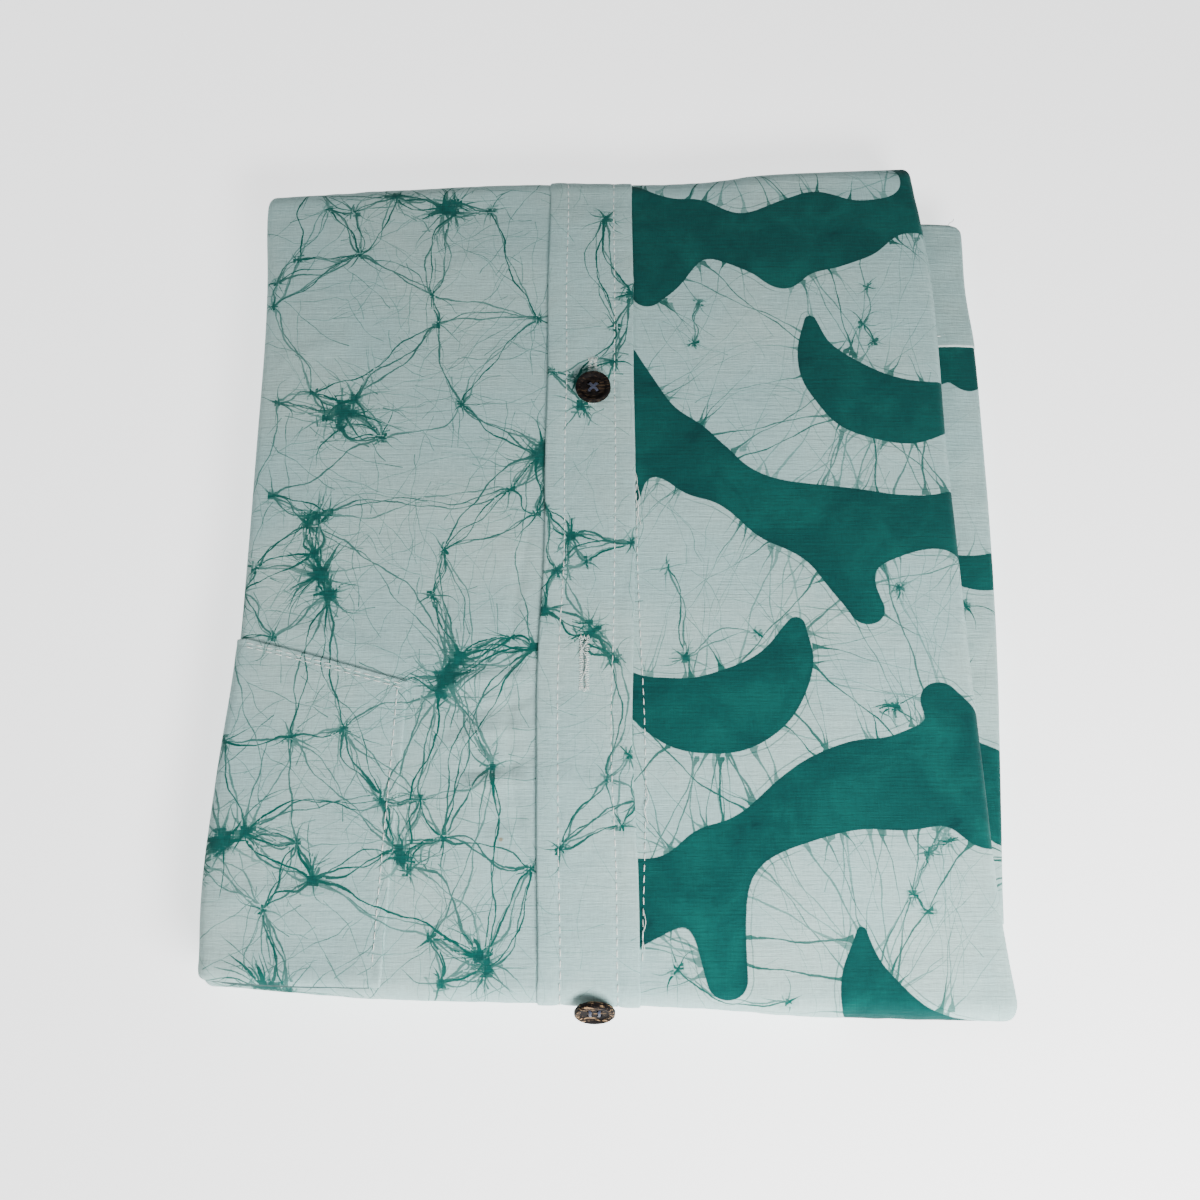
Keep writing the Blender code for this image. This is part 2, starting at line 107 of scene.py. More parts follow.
# ---- Looks: sizes of what only shows ----
TOP_STEP = 1.0              # distance between mesh rows on top
TOP_LENGTH = 290.0
UNDER_STEP = 1.6            # the same where the shirt lies on its back
EDGE_DROP = 0.45            # how far a cloth's turned-in end drops, then tucks under
TUCK_DROP = 0.05
TUCK_REACH = 0.02           # in along coordinates
BAND_HEIGHT = 1.1           # the band's folded cloth above the front
BAND_CLEAR = 0.08           # the band's and the pocket's underside above the front
POCKET_CLEAR = 0.06
POCKET_HEIGHT = 0.95
STITCH_PITCH = 3.3
STITCH_LENGTH = 2.7
STITCH_THICKNESS = 0.42
BAND_STITCH_INSET = 6.9     # rows of stitches from the band's edges

# Creases on the top: from x, y to x, y, height (below 0 is a trough), half width.
CREASES = (
    (-54, -31, -21, -27, 0.75, 2.6),
    (-50, -38, -21, -33, -0.55, 2.2),
    (-52, -50, -21, -44, 0.7, 2.8),
    (-47, -57, -22, -53, -0.6, 2.0),
    (-45, -64, -21, -61, 0.75, 3.0),
    (-40, -74, -22, -71, -0.35, 2.4),
    (-120, 16, -78, 14, -0.22, 0.9),
    (-122, 86, -88, 100, 0.3, 4.0),
    (-118, -97, -68, -99, 0.45, 2.6),
    (-118, -105, -70, -107, -0.25, 3.0),
    (-112, -9, -64, -23, 0.55, 3.2),
    (-60, 128, -24, 136, 0.25, 4.5),
    (20, -92, 52, -124, 0.3, 4.0),
    (88, -108, 108, -122, -0.4, 3.2),
    (60, 60, 112, 92, 0.28, 6.0),
    (96, -20, 121, 6, 0.3, 4.0),
    (-21.5, 40, -22.5, -92, -0.5, 2.0),
    (-16, 70, 9, 92, 0.28, 5.0),
    (-18, -60, 10, -66, 0.3, 3.5),
    (14.5, 44, 14.8, -112, -0.2, 0.9),
)
# Creases underneath, the last number as above, in cloth coordinates past the hem fold.
UNDER_CREASES = (
    (-118, 236, -60, 228, 0.4, 4.0),
    (-110, 300, -40, 322, -0.35, 3.0),
    (24, 250, 112, 262, 0.4, 4.5),
    (30, 342, 96, 330, -0.4, 3.5),
    (-90, 384, -24, 372, 0.3, 3.0),
    (44, 402, 118, 396, 0.35, 4.0),
)


# ---- Small tools ----
def mix(a, b, share):
    return a + (b - a) * share


def smooth(share):
    share = np.clip(share, 0.0, 1.0)
    return share * share * (3 - 2 * share)


def reading(table, column, value):
    """The table's column at value, on a smooth curve through its rows."""
    keys, values = table[:, 0], table[:, column]
    value = np.clip(value, keys[0], keys[-1])
    slopes = np.empty_like(values)
    slopes[1:-1] = (values[2:] - values[:-2]) / (keys[2:] - keys[:-2])
    slopes[0] = (values[1] - values[0]) / (keys[1] - keys[0])
    slopes[-1] = (values[-1] - values[-2]) / (keys[-1] - keys[-2])
    at = np.clip(np.searchsorted(keys, value) - 1, 0, len(keys) - 2)
    run = keys[at + 1] - keys[at]
    share = (value - keys[at]) / run
    return (
        values[at] * (1 + 2 * share) * (1 - share) ** 2
        + slopes[at] * run * share * (1 - share) ** 2
        + values[at + 1] * share * share * (3 - 2 * share)
        + slopes[at + 1] * run * share * share * (share - 1)
    )


def left_edge(y):
    return reading(SIDES, 1, y)


def right_edge(y):
    return reading(SIDES, 2, y)


def sleeve_edge(y):
    return reading(SIDES, 3, y)


def near_edge(x):
    return reading(ENDS, 1, x)


def far_edge(x):
    return reading(ENDS, 2, x)


def waves(x, y, size, seed):
    """A soft uneven surface from -1 to 1, a sum of waves about this size."""
    draw = np.random.default_rng(seed)
    total = np.zeros(np.broadcast(x, y).shape)
    for _ in range(9):
        angle = draw.uniform(0, math.pi)
        length = size * draw.uniform(0.7, 1.6)
        phase = draw.uniform(0, 2 * math.pi)
        total += np.sin((x * math.cos(angle) + y * math.sin(angle)) * 2 * math.pi / length + phase)
    return total / 4.5


def step_from(place, run, heading):
    """The place a run away from another, towards a heading."""
    return place[0] + run * math.cos(heading), place[1] + run * math.sin(heading)


def unit(vectors):
    return vectors / np.maximum(np.linalg.norm(vectors, axis=1)[:, None], 1e-9)


def in_model(x, y, z):
    """Points of the drafting frame, still in millimetres, in the model's frame."""
    return np.stack([x - FOOTPRINT_MIDDLE[0], y - FOOTPRINT_MIDDLE[1], z], axis=-1)


# ---- The strip's surface ----
def across_at(x, y):
    left = left_edge(y) + SIDE_ROLL
    return (x - left) / (right_edge(y) - SIDE_ROLL - left)


def along_at(x, y):
    """Along coordinate of a place on top, or on the upper part of the collar end's roll."""
    near = near_edge(x) + NEAR_ROLL
    far = far_edge(x) - FAR_ROLL
    over = np.arcsin(np.clip((near - y) / NEAR_ROLL, 0, 1)) * 2 / math.pi
    return np.where(y >= near, (y - near) / (far - near), -over)


def section(across, y, lift):
    left, right = left_edge(y), right_edge(y)
    turn = np.maximum(np.maximum(-across, across - 1), 0) * math.pi / 2
    reach = SIDE_ROLL + lift
    flat = mix(left + SIDE_ROLL, right - SIDE_ROLL, np.clip(across, 0, 1))
    x = flat + np.sign(across - 0.5) * reach * np.sin(turn)
    depth = np.where(turn > 0, SIDE_ROLL - reach * np.cos(turn), -lift)
    return x, depth


def end_axes(across, lift):
    axes = []
    for edge, roll, start in ((near_edge, NEAR_ROLL, -120.0), (far_edge, -FAR_ROLL, 165.0)):
        y = np.full(np.shape(across), start)
        for _ in range(3):
            y = edge(section(across, y, lift)[0]) + roll
        axes.append(y)
    return axes


def band_press(x):
    into = smooth((x - BAND_LEFT + PRESS_MARGIN) / PRESS_MARGIN)
    out = smooth((BAND_RIGHT + PRESS_MARGIN - x) / PRESS_MARGIN)
    return into * out * BAND_PRESS


def path_y(along, near_axis, far_axis):
    """The y that decides the long sides' outlines at each along coordinate."""
    top = mix(near_axis, far_axis, np.clip(along, 0, 1))
    ledge = near_axis + (-along - 2) * LEDGE
    hem = far_axis - (along - 3) * HEM_RUN
    return np.where(along < -2, ledge, np.where(along > 3, hem, top))


def on_strip(across, along, lift):
    """Points on the shirt's outer cloth, lift outwards, in millimetres in the model's frame."""
    across, along, lift = np.broadcast_arrays(*(np.asarray(v, float) for v in (across, along, lift)))
    near_axis, far_axis = end_axes(across, lift)
    y = path_y(along, near_axis, far_axis)
    x, depth = section(across, y, lift)
    share_x, share_y = np.clip(across, 0, 1), np.clip(along, 0, 1)
    crown = CROWN * (16 * share_x * (1 - share_x) * share_y * (1 - share_y)) ** 0.7
    press = band_press(x) * smooth(along - 2)
    near_turn = np.clip(-along, 0, 2) * math.pi / 2
    far_turn = np.clip(along - 1, 0, 2) * math.pi / 2
    near_reach = NEAR_ROLL - depth
    far_reach = FAR_ROLL - depth - press
    z = PILE_HEIGHT - depth + crown
    z = np.where(along < 0, PILE_HEIGHT - NEAR_ROLL + near_reach * np.cos(near_turn), z)
    z = np.where(along < -2, PILE_HEIGHT - 2 * NEAR_ROLL + depth, z)
    z = np.where(along > 1, FAR_ROLL + far_reach * np.cos(far_turn), z)
    z = np.where(along > 3, depth + press, z)
    y = np.where((along < 0) & (along >= -2), near_axis - near_reach * np.sin(near_turn), y)
    y = np.where((along > 1) & (along <= 3), far_axis + far_reach * np.sin(far_turn), y)
    return in_model(x, y, z)


def on_cloth(across, along):
    """Cloth coordinates: x across and y along the unrolled cloth."""
    across, along = np.broadcast_arrays(np.asarray(across, float), np.asarray(along, float))
    near_axis, far_axis = end_axes(across, 0.0)
    y = path_y(along, near_axis, far_axis)
    side = np.maximum(np.maximum(-across, across - 1), 0) * math.pi / 2
    u = mix(left_edge(y) + SIDE_ROLL, right_edge(y) - SIDE_ROLL, np.clip(across, 0, 1))
    u = u + np.sign(across - 0.5) * SIDE_ROLL * side
    v = mix(near_axis, far_axis, np.clip(along, 0, 1))
    v = v - NEAR_ROLL * np.clip(-along, 0, 2) * math.pi / 2 - LEDGE * np.maximum(-along - 2, 0)
    v = v + FAR_ROLL * np.clip(along - 1, 0, 2) * math.pi / 2 + HEM_RUN * np.maximum(along - 3, 0)
    return u, v


def crease_height(u, v, creases):
    total = np.zeros(np.shape(u))
    for x0, y0, x1, y1, height, width in creases:
        run = math.hypot(x1 - x0, y1 - y0)
        tx, ty = (x1 - x0) / run, (y1 - y0) / run
        along = (u - x0) * tx + (v - y0) * ty
        bend = 0.06 * run * np.sin(np.clip(along / run, 0, 1) * math.pi) * (1 if height > 0 else -1)
        aside = -(u - x0) * ty + (v - y0) * tx - bend
        fade = smooth(along / (0.3 * run) + 0.3) * smooth((run - along) / (0.3 * run) + 0.3)
        total += height * fade * np.exp(-((aside / width) ** 2))
    return total


def relief(u, v):
    """Soft rises and creases of the resting cloth."""
    on_top = smooth((v + 124) / 12) * smooth((166 - v) / 12)
    inside = smooth((u + 121) / 8) * smooth((121 - u) / 8)
    height = 0.32 * waves(u, v, 62, 3) + 0.10 * waves(u, v, 17, 4) + 0.035 * waves(u, v, 5.5, 5)
    height = height + crease_height(u, v, CREASES)
    under = smooth((v - 196) / 14)
    below = 0.22 * waves(u, v, 48, 6) - 0.22 + crease_height(u, v, UNDER_CREASES) * 0.6 - 0.3
    rolls = (1 - on_top) * (1 - under) * (0.14 * waves(u, v, 13, 8) + 0.05 * waves(u, v, 5, 9))
    return on_top * inside * height + under * np.minimum(below, 0.0) + rolls * smooth((181 - v) / 9)


def on_top(x, y, height):
    """A place on top, this high above the resting front."""
    across, along = across_at(x, y), along_at(x, y)
    return on_strip(across, along, height + relief(*on_cloth(across, along)))


# ---- The dye: figures ----
def smooth_path(rows, step):
    """Points along a smooth curve through the rows, about step apart, with every column carried."""
    rows = np.asarray(rows, float)
    if len(rows) < 3:
        count = max(int(np.hypot(*(rows[-1] - rows[0])[:2]) / step), 1) + 1
        return np.linspace(rows[0], rows[-1], count)
    padded = np.vstack([2 * rows[0] - rows[1], rows, 2 * rows[-1] - rows[-2]])
    parts = []
    for index in range(1, len(padded) - 2):
        a, b, c, d = padded[index - 1:index + 3]
        count = max(int(np.hypot(*(c - b)[:2]) / step), 1)
        t = np.linspace(0, 1, count, endpoint=False)[:, None]
        parts.append(0.5 * (2 * b + (c - a) * t + (2 * a - 5 * b + 4 * c - d) * t ** 2
                            + (3 * b - a - 3 * c + d) * t ** 3))
    parts.append(rows[-1:])
    return np.vstack(parts)


def lobe(draw, foot, heading, length, scale, hooked):
    """A lobe that leaves the band at its foot and tapers to a round tip, or curls over in a hook."""
    turn = draw.choice([-1, 1]) * (0.78 if hooked else draw.uniform(0.05, 0.3))
    full = draw.uniform(0.9, 1.12)
    x, y = foot[:2]
    rows = [(x, y, 10.5 * scale)]
    for half in (9.6, 9.0, 8.4, 7.6) if hooked else (8.6, 7.2, 6.2):
        heading += turn
        step = length / (4 if hooked else 3)
        x, y = step_from((x, y), step, heading)
        rows.append((x, y, half * full * scale))
    return rows


def crescent(x, y, turn, scale):
    """A free crescent that swells in the middle and tapers to both tips."""
    rows = []
    for angle, half in zip(np.linspace(-1.25, 1.25, 7), (2.2, 7.5, 12.0, 14.0, 13.0, 9.0, 3.6)):
        aim = turn + angle
        rows.append((x + 33 * scale * (math.cos(aim) - 0.7 * math.cos(turn)),
                     y + 33 * scale * (math.sin(aim) - 0.7 * math.sin(turn)), half * scale))
    return rows


def winding_figures(seed, left, right, first, last, pitch=112.0, scale=1.0):
    """Bands of dye that wind across the cloth, with lobes and hooks, and free crescents between them.
    Each stroke is rows of x, y, half width."""
    draw = np.random.default_rng(seed)
    strokes = []
    xs = np.arange(left - 14 * scale, right + 30 * scale, 15 * scale)
    side = 1
    for y in np.arange(first, last, pitch * scale):
        phase, slope = draw.uniform(0, 2 * math.pi), draw.uniform(-0.3, 0.3)
        ys = y + slope * (xs - 0.5 * (left + right)) + 8.5 * scale * np.sin(xs / (21 * scale) + phase)
        halves = scale * (11.2 + 3.2 * np.sin(xs / (15 * scale) + 2 * phase))
        band = np.column_stack([xs, ys, halves])
        strokes.append(band)
        # a crescent lies above the band on one side, so the lobes there stand on the other
        middle = 0.5 * (left + right) + side * 0.24 * (right - left)
        rise = np.interp(middle, xs, ys) + 0.5 * pitch * scale
        strokes.append(crescent(middle, rise, draw.uniform(-2.2, -0.9), scale))
        for away, half_of in ((math.pi / 2, -side), (-math.pi / 2, side)):
            for number in range(2):
                share = 0.5 + half_of * (0.12 + 0.24 * number + draw.uniform(-0.05, 0.05))
                foot = band[int(share * (len(band) - 1))]
                hooked = number == 0 and away > 0
                length = scale * draw.uniform(*((42, 50) if hooked else (24, 36)))
                strokes.append(lobe(draw, foot, away + draw.uniform(-0.3, 0.3), length, scale, hooked))
        side = -side
    return strokes


def figure_distance(u, v, figures):
    """Signed distance to the figures' edge, below 0 inside, with soft fillets where strokes join."""
    shape = np.shape(u)
    points = np.stack([np.ravel(u), np.ravel(v)], axis=1).astype(np.float32)
    soft = 3.4
    total = np.zeros(len(points))
    for stroke in figures:
        path = smooth_path(stroke, 1.2).astype(np.float32)
        best = np.full(len(points), 1e3, np.float32)
        for x, y, half in path:
            best = np.minimum(best, np.hypot(points[:, 0] - x, points[:, 1] - y) - half)
        total += np.exp(-np.clip(best, -60, 60) / soft)
    distance = 0.45 - soft * np.log(np.maximum(total, 1e-20))
    distance += 0.55 * waves(points[:, 0], points[:, 1], 24, 11) * np.exp(-np.abs(distance) / 9)
    return distance.reshape(shape)


# The right front carries the figures from end to end, and the sleeve carries smaller ones.
FRONT_FIGURES = winding_figures(66, 4, 134, -186, 440)
SLEEVE_FIGURES = winding_figures(67, 98, 142, -58, 100, pitch=300.0, scale=0.5)


# ---- The dye: crackle ----
STRANDS_KEPT = 4            # strands that a mesh face can carry
# The columns of a strand's samples: place, heading, half width and its change, strength, number.
AT_U, AT_V, TO_U, TO_V, HALF, WIDENING, POWER, NUMBER = range(8)
SAMPLE_STEP = 0.5           # along a strand
CELL = 1.0                  # size of the cells that strands are looked up in
CELL_SPAN = 4096            # cells in a row, with the middle of the cloth in the middle of the row
NO_FIGURE = 60.0            # the distance written where there is no figure near
NO_KNOT = 30.0


def path_headings(path):
    heading = np.gradient(path, axis=0)
    return heading / np.maximum(np.hypot(heading[:, 0], heading[:, 1])[:, None], 1e-6)


class Crackle:
    """Hair cracks in the wax, as strands that thin out from knots of dye and link them."""

    def __init__(self, seed):
        self.draw = np.random.default_rng(seed)
        self.samples = []
        self.knots = []
        self.strands = 0

    def strand(self, rows, start, end, least, strength, wander=1.0, flare=(0.0, 0.0)):
        """rows are x, y places. start, end and least are half widths at first, last and between.
        flare widens the very ends."""
        path = smooth_path(rows, SAMPLE_STEP)
        length = len(path) * SAMPLE_STEP
        place = np.linspace(0, 1, len(path))
        heading = path_headings(path)
        aside = np.zeros(len(path))
        for size, reach in ((31, 0.95), (13, 0.3), (5.1, 0.075), (2.2, 0.025)):
            phase = self.draw.uniform(0, 2 * math.pi)
            aside += reach * np.sin(place * length / size * 2 * math.pi + phase)
        aside *= wander * np.minimum(1, 4 * place * (1 - place) * length / 12)
        path = path + np.stack([-heading[:, 1], heading[:, 0]], axis=1) * aside[:, None]
        heading = path_headings(path)
        fade = min(3.5 + 0.08 * length, 8.0)
        half = least + (start - least) * np.exp(-place * length / fade)
        half = half + (end - least) * np.exp(-(1 - place) * length / fade)
        half = half * (1 + 0.25 * np.sin(place * length / 2.7 + self.draw.uniform(0, 6)))
        half = half + flare[0] * np.exp(-place * length / 1.2)
        half = half + flare[1] * np.exp(-(1 - place) * length / 1.2)
        power = strength * np.minimum(1, (1.02 - place) * 6) if end <= least else strength + 0 * place
        number = np.full(len(path), self.strands)
        self.strands += 1
        half = np.maximum(half, 0.03) * np.minimum(1, (1.01 - place) * length / 4 if end < 0.07 else 1)
        self.samples.append(np.column_stack([path, heading, half, np.gradient(half), power, number]))

    def knot(self, x, y, size, rays, reach):
        """A knot with rays of dye running out of it."""
        draw = self.draw
        angles = (np.arange(rays) + draw.uniform(-0.36, 0.36, rays)) * 2 * math.pi / rays
        angles += draw.uniform(0, math.pi)
        lengths = reach * draw.uniform(0.3, 1.0, rays) * (0.55 + 0.17 * size)
        spikes = size * draw.uniform(0.1, 0.9, rays) ** 1.6
        self.knots.append((x, y, size, angles, spikes, draw.uniform(0.1, 0.26, rays)))
        for _ in range(1 + int(size > 1.5) + int(size > 2.4) + int(size > 4)):
            self.arm(x, y, size, draw.choice(angles) + draw.normal(0, 0.08))
        for index in range(int(rays * min(size / 3, 1))):
            first, second = angles[index], angles[(index + 1) % rays]
            away = size * draw.uniform(0.9, 2.6)
            middle = 0.5 * (first + second)
            rows = [step_from((x, y), away * share, angle)
                    for angle, share in ((first, 1.0), (middle, 0.84), (second, draw.uniform(0.8, 1.2)))]
            if abs(second - first) < 2:
                self.strand(rows, 0.22, 0.2, 0.09, draw.uniform(0.4, 0.85), 0.35)
        for angle, length in zip(angles, lengths):
            turn = draw.uniform(-0.35, 0.35)
            middle = step_from((x, y), 0.55 * length, angle)
            tip = step_from((x, y), length, angle + turn)
            half = min(0.2 + 0.17 * size, 0.95) * draw.uniform(0.6, 1.15)
            self.strand([(x, y), middle, tip], half, 0.05, 0.09, draw.uniform(0.6, 1.0), 0.6)
            if length > 14 and draw.uniform() < 0.5:
                side = angle + draw.choice([-1, 1]) * draw.uniform(0.35, 0.8)
                fork = step_from(middle, 0.5 * length, side)
                self.strand([middle, fork], 0.2 * half + 0.1, 0.04, 0.06, draw.uniform(0.5, 0.8), 0.6)

    def arm(self, x, y, size, angle):
        """A thick arm of dye that frays into fibres beside it."""
        draw = self.draw
        length = size * draw.uniform(1.6, 3.6)
        turn = draw.uniform(-0.3, 0.3)
        for fibre in range(4):
            share = 1.0 if fibre == 0 else draw.uniform(0.7, 1.5)
            aim = angle + (0 if fibre == 0 else draw.normal(0, 0.16))
            middle = step_from((x, y), 0.5 * share * length, aim)
            tip = step_from((x, y), share * length, aim + turn)
            half = size * draw.uniform(0.2, 0.34) if fibre == 0 else draw.uniform(0.15, 0.4)
            self.strand([(x, y), middle, tip], half, 0.08, 0.14, draw.uniform(0.8, 1.0), 0.4)

    def link(self, a, b):
        """Strands that join two knots, thick at both and thin between."""
        draw = self.draw
        run = math.hypot(b[0] - a[0], b[1] - a[1])
        normal = (-(b[1] - a[1]) / run, (b[0] - a[0]) / run)
        bend = draw.uniform(-0.13, 0.13) * run
        for _ in range(1 + int(draw.uniform() < 0.65) + int(draw.uniform() < 0.35)):
            rows = [a[:2]]
            for share in (0.33, 0.67):
                off = bend * 4 * share * (1 - share) + draw.normal(0, 0.028 * run + 0.25)
                rows.append([mix(a[k], b[k], share) + normal[k] * off for k in (0, 1)])
            rows.append(b[:2])
            start, end = (min(0.25 + 0.18 * knot[2], 1.0) * draw.uniform(0.6, 1.1) for knot in (a, b))
            self.strand(rows, start, end, draw.uniform(0.12, 0.28), draw.uniform(0.7, 1.0), 0.9)

    def web(self, knots, rays=7, reach=22, neighbours=4, longest=80, far=0):
        """Knots, their rays, links from each to its nearest neighbours, and some longer links."""
        places = np.array(knots)
        done = set()
        for index, knot in enumerate(knots):
            count = int(rays * (0.6 + 0.14 * min(knot[2], 5)))
            self.knot(*knot, count, reach)
            away = np.hypot(places[:, 0] - knot[0], places[:, 1] - knot[1])
            for other in np.argsort(away)[1:neighbours + 1]:
                pair = (min(index, other), max(index, other))
                if pair not in done and away[other] < longest:
                    done.add(pair)
                    self.link(knot, knots[other])
        for _ in range(far):
            a, b = self.draw.choice(len(knots), 2, replace=False)
            if 24 < math.dist(knots[a][:2], knots[b][:2]) < longest:
                self.link(knots[a], knots[b])

    def hairs(self, count, box, length, strength=(0.25, 0.6), half=(0.05, 0.11)):
        """Loose hair cracks across a box of x0, y0, x1, y1."""
        draw = self.draw
        for _ in range(count):
            x, y = draw.uniform(box[0], box[2]), draw.uniform(box[1], box[3])
            angle = draw.uniform(0, 2 * math.pi)
            run = length * draw.uniform(0.4, 1.2)
            rows = [(x, y)]
            for _ in range(3):
                angle += draw.normal(0, 0.22)
                x, y = step_from((x, y), run / 3, angle)
                rows.append((x, y))
            thick = draw.uniform(*half)
            self.strand(rows, thick, thick, thick * 0.8, draw.uniform(*strength), 0.8)

    def radiate(self, figures, box, count, longest):
        """Veins that leave the figures' edges, and run to the next figure or thin out."""
        draw = self.draw
        starts = []
        while len(starts) < count:
            u, v = draw.uniform(box[0], box[2], 600), draw.uniform(box[1], box[3], 600)
            on_edge = np.abs(figure_distance(u, v, figures)) < 0.8
            starts += list(zip(u[on_edge], v[on_edge]))
        for x, y in starts[:count]:
            grow = 1 if draw.uniform() < 0.45 else 0
            for _ in range(1 + grow):
                start = (x + draw.normal(0, 1.2 * grow), y + draw.normal(0, 1.2 * grow))
                self.vein(*start, figures, longest)

    def vein(self, x, y, figures, longest):
        draw = self.draw
        step = 0.4
        near = figure_distance(np.array([x - step, x + step, x, x]),
                               np.array([y, y, y - step, y + step]), figures)
        angle = math.atan2(near[3] - near[2], near[1] - near[0]) + draw.normal(0, 0.3)
        turn = draw.normal(0, 0.004)
        reach = longest * draw.uniform(0.25, 1.0) ** 1.3
        t = np.arange(0, longest, 1.0)
        headings = angle + turn * t
        us = x + np.concatenate([[0], np.cumsum(np.cos(headings))[:-1]])
        vs = y + np.concatenate([[0], np.cumsum(np.sin(headings))[:-1]])
        inside = np.nonzero(figure_distance(us[3:], vs[3:], figures) < -0.4)[0]
        hits = len(inside) > 0 and inside[0] > 3
        stop = inside[0] + 4 if hits else int(reach) + 2
        if stop < 4:
            return
        rows = [(us[i], vs[i]) for i in np.linspace(0, min(stop, len(us) - 1), 4).astype(int)]
        thick = draw.uniform(0.16, 0.55) if hits else draw.uniform(0.12, 0.4)
        least = thick * 0.42 if hits else 0.06
        flare = (draw.uniform(0.2, 0.75), draw.uniform(0.2, 0.7) if hits else 0.0)
        end = thick * 0.9 if hits else 0.05
        self.strand(rows, thick, end, least, draw.uniform(0.5, 0.95), 0.55, flare)

    def ready(self):
        """Sorts the strands' samples into cells, the nearest few strands for each."""
        rows = np.vstack(self.samples)
        cell_u, cell_v = np.floor(rows[:, AT_U] / CELL), np.floor(rows[:, AT_V] / CELL)
        around = [(du, dv) for du in (-1, 0, 1) for dv in (-1, 0, 1)]
        keys = np.concatenate([cell_key(cell_u + du, cell_v + dv) for du, dv in around])
        picks = np.tile(np.arange(len(rows)), len(around))
        centre_u = (np.floor(keys / CELL_SPAN) - CELL_SPAN // 2 + 0.5) * CELL
        centre_v = (keys % CELL_SPAN - CELL_SPAN // 2 + 0.5) * CELL
        off_u, off_v = centre_u - rows[picks, AT_U], centre_v - rows[picks, AT_V]
        ahead = np.abs(off_u * rows[picks, TO_U] + off_v * rows[picks, TO_V])
        aside = np.abs(-off_u * rows[picks, TO_V] + off_v * rows[picks, TO_U])
        number = rows[picks, NUMBER]
        order = np.lexsort((ahead, number, keys))
        first = np.ones(len(order), bool)
        first[1:] = (np.diff(keys[order]) != 0) | (np.diff(number[order]) != 0)
        order = order[first]
        worth = aside[order] - 1.6 * rows[picks[order], HALF] - 0.3 * rows[picks[order], POWER]
        order = order[np.lexsort((worth, keys[order]))]
        sorted_keys = keys[order]
        rank = np.arange(len(order)) - np.searchsorted(sorted_keys, sorted_keys)
        kept = rank < STRANDS_KEPT
        self.cells, at = np.unique(sorted_keys[kept], return_inverse=True)
        self.table = np.full((len(self.cells), STRANDS_KEPT), -1)
        self.table[at, rank[kept]] = picks[order][kept]
        self.rows = rows
        return self

    def strands_on(self, corner_u, corner_v):
        """For faces with these corners, each kept strand's distance aside, half width and strength."""
        centre_u, centre_v = corner_u.mean(axis=1), corner_v.mean(axis=1)
        key = cell_key(np.floor(centre_u / CELL), np.floor(centre_v / CELL))
        at = np.clip(np.searchsorted(self.cells, key), 0, len(self.cells) - 1)
        known = self.cells[at] == key
        for slot in range(STRANDS_KEPT):
            pick = np.where(known, self.table[at, slot], -1)
            row = self.rows[pick].T[:, :, None]
            off_u, off_v = corner_u - row[AT_U], corner_v - row[AT_V]
            ahead = off_u * row[TO_U] + off_v * row[TO_V]
            aside = -off_u * row[TO_V] + off_v * row[TO_U]
            half = row[HALF] + row[WIDENING] * np.clip(ahead / SAMPLE_STEP, -3, 3)
            power = np.broadcast_to(row[POWER], aside.shape)
            empty = (pick < 0)[:, None]
            yield np.stack([np.where(empty, 9.0, aside), np.where(empty, 0.0, half),
                            np.where(empty, 0.0, power)], axis=-1)

    def knot_distance(self, u, v):
        """Signed distance to the knots' ragged outlines, below 0 inside."""
        best = np.full(np.shape(u), NO_KNOT)
        for x, y, size, angles, spikes, widths in self.knots:
            near = np.nonzero((np.abs(u - x) < 26) & (np.abs(v - y) < 26))
            du, dv = u[near] - x, v[near] - y
            away = np.hypot(du, dv)
            heading = np.arctan2(dv, du)
            outline = np.full(away.shape, 0.56 * size)
            for angle, spike, width in zip(angles, spikes, widths):
                gap = np.abs((heading - angle + math.pi) % (2 * math.pi) - math.pi)
                outline = np.maximum(outline, 0.52 * size + spike * np.exp(-gap / width))
            best[near] = np.minimum(best[near], away - outline)
        return best


def cell_key(cell_u, cell_v):
    return ((cell_u + CELL_SPAN // 2) * CELL_SPAN + cell_v + CELL_SPAN // 2).astype(np.int64)


def scattered_knots(seed, count, box, most=7.0):
    """Places where the wax broke, across a box of x0, y0, x1, y1: x, y, size. A few are large, and the
    large ones have smaller ones grown into their sides."""
    draw = np.random.default_rng(seed)
    knots = []
    for _ in range(60 * count):
        x, y = draw.uniform(box[0], box[2]), draw.uniform(box[1], box[3])
        size = 0.8 + (most - 0.8) * draw.uniform() ** 4
        apart = all(math.dist((x, y), k[:2]) > 1.9 * (size + k[2]) + 2.5 for k in knots)
        if len(knots) < count and apart:
            knots.append((x, y, size))
    for x, y, size in [knot for knot in knots if knot[2] > 2.6]:
        heading = draw.uniform(0, 2 * math.pi)
        for _ in range(3):
            heading += draw.choice([0.5, math.pi]) + draw.normal(0, 0.35)
            away = size * draw.uniform(0.85, 1.7)
            knots.append((*step_from((x, y), away, heading), size * draw.uniform(0.3, 0.62)))
    return knots


def clear_of(knots, figures):
    """The knots that lie on the pale ground between the figures."""
    x, y, size = np.array(knots).T
    outside = figure_distance(x, y, figures) > size + 1.5
    return [knot for knot, keep in zip(knots, outside) if keep]


def left_crackle():
    web = Crackle(21)
    web.web(scattered_knots(71, 50, (-124, -128, -18, 172)), far=90)
    web.hairs(380, (-126, -130, -14, 175), 42, (0.45, 0.9), (0.07, 0.15))
    under = scattered_knots(22, 30, (-124, 185, -16, 428))
    under += scattered_knots(23, 6, (-122, -188, -16, -140))
    web.web(under, rays=7, reach=18, far=10)
    web.hairs(90, (-126, 180, -14, 430), 40)
    return web.ready()


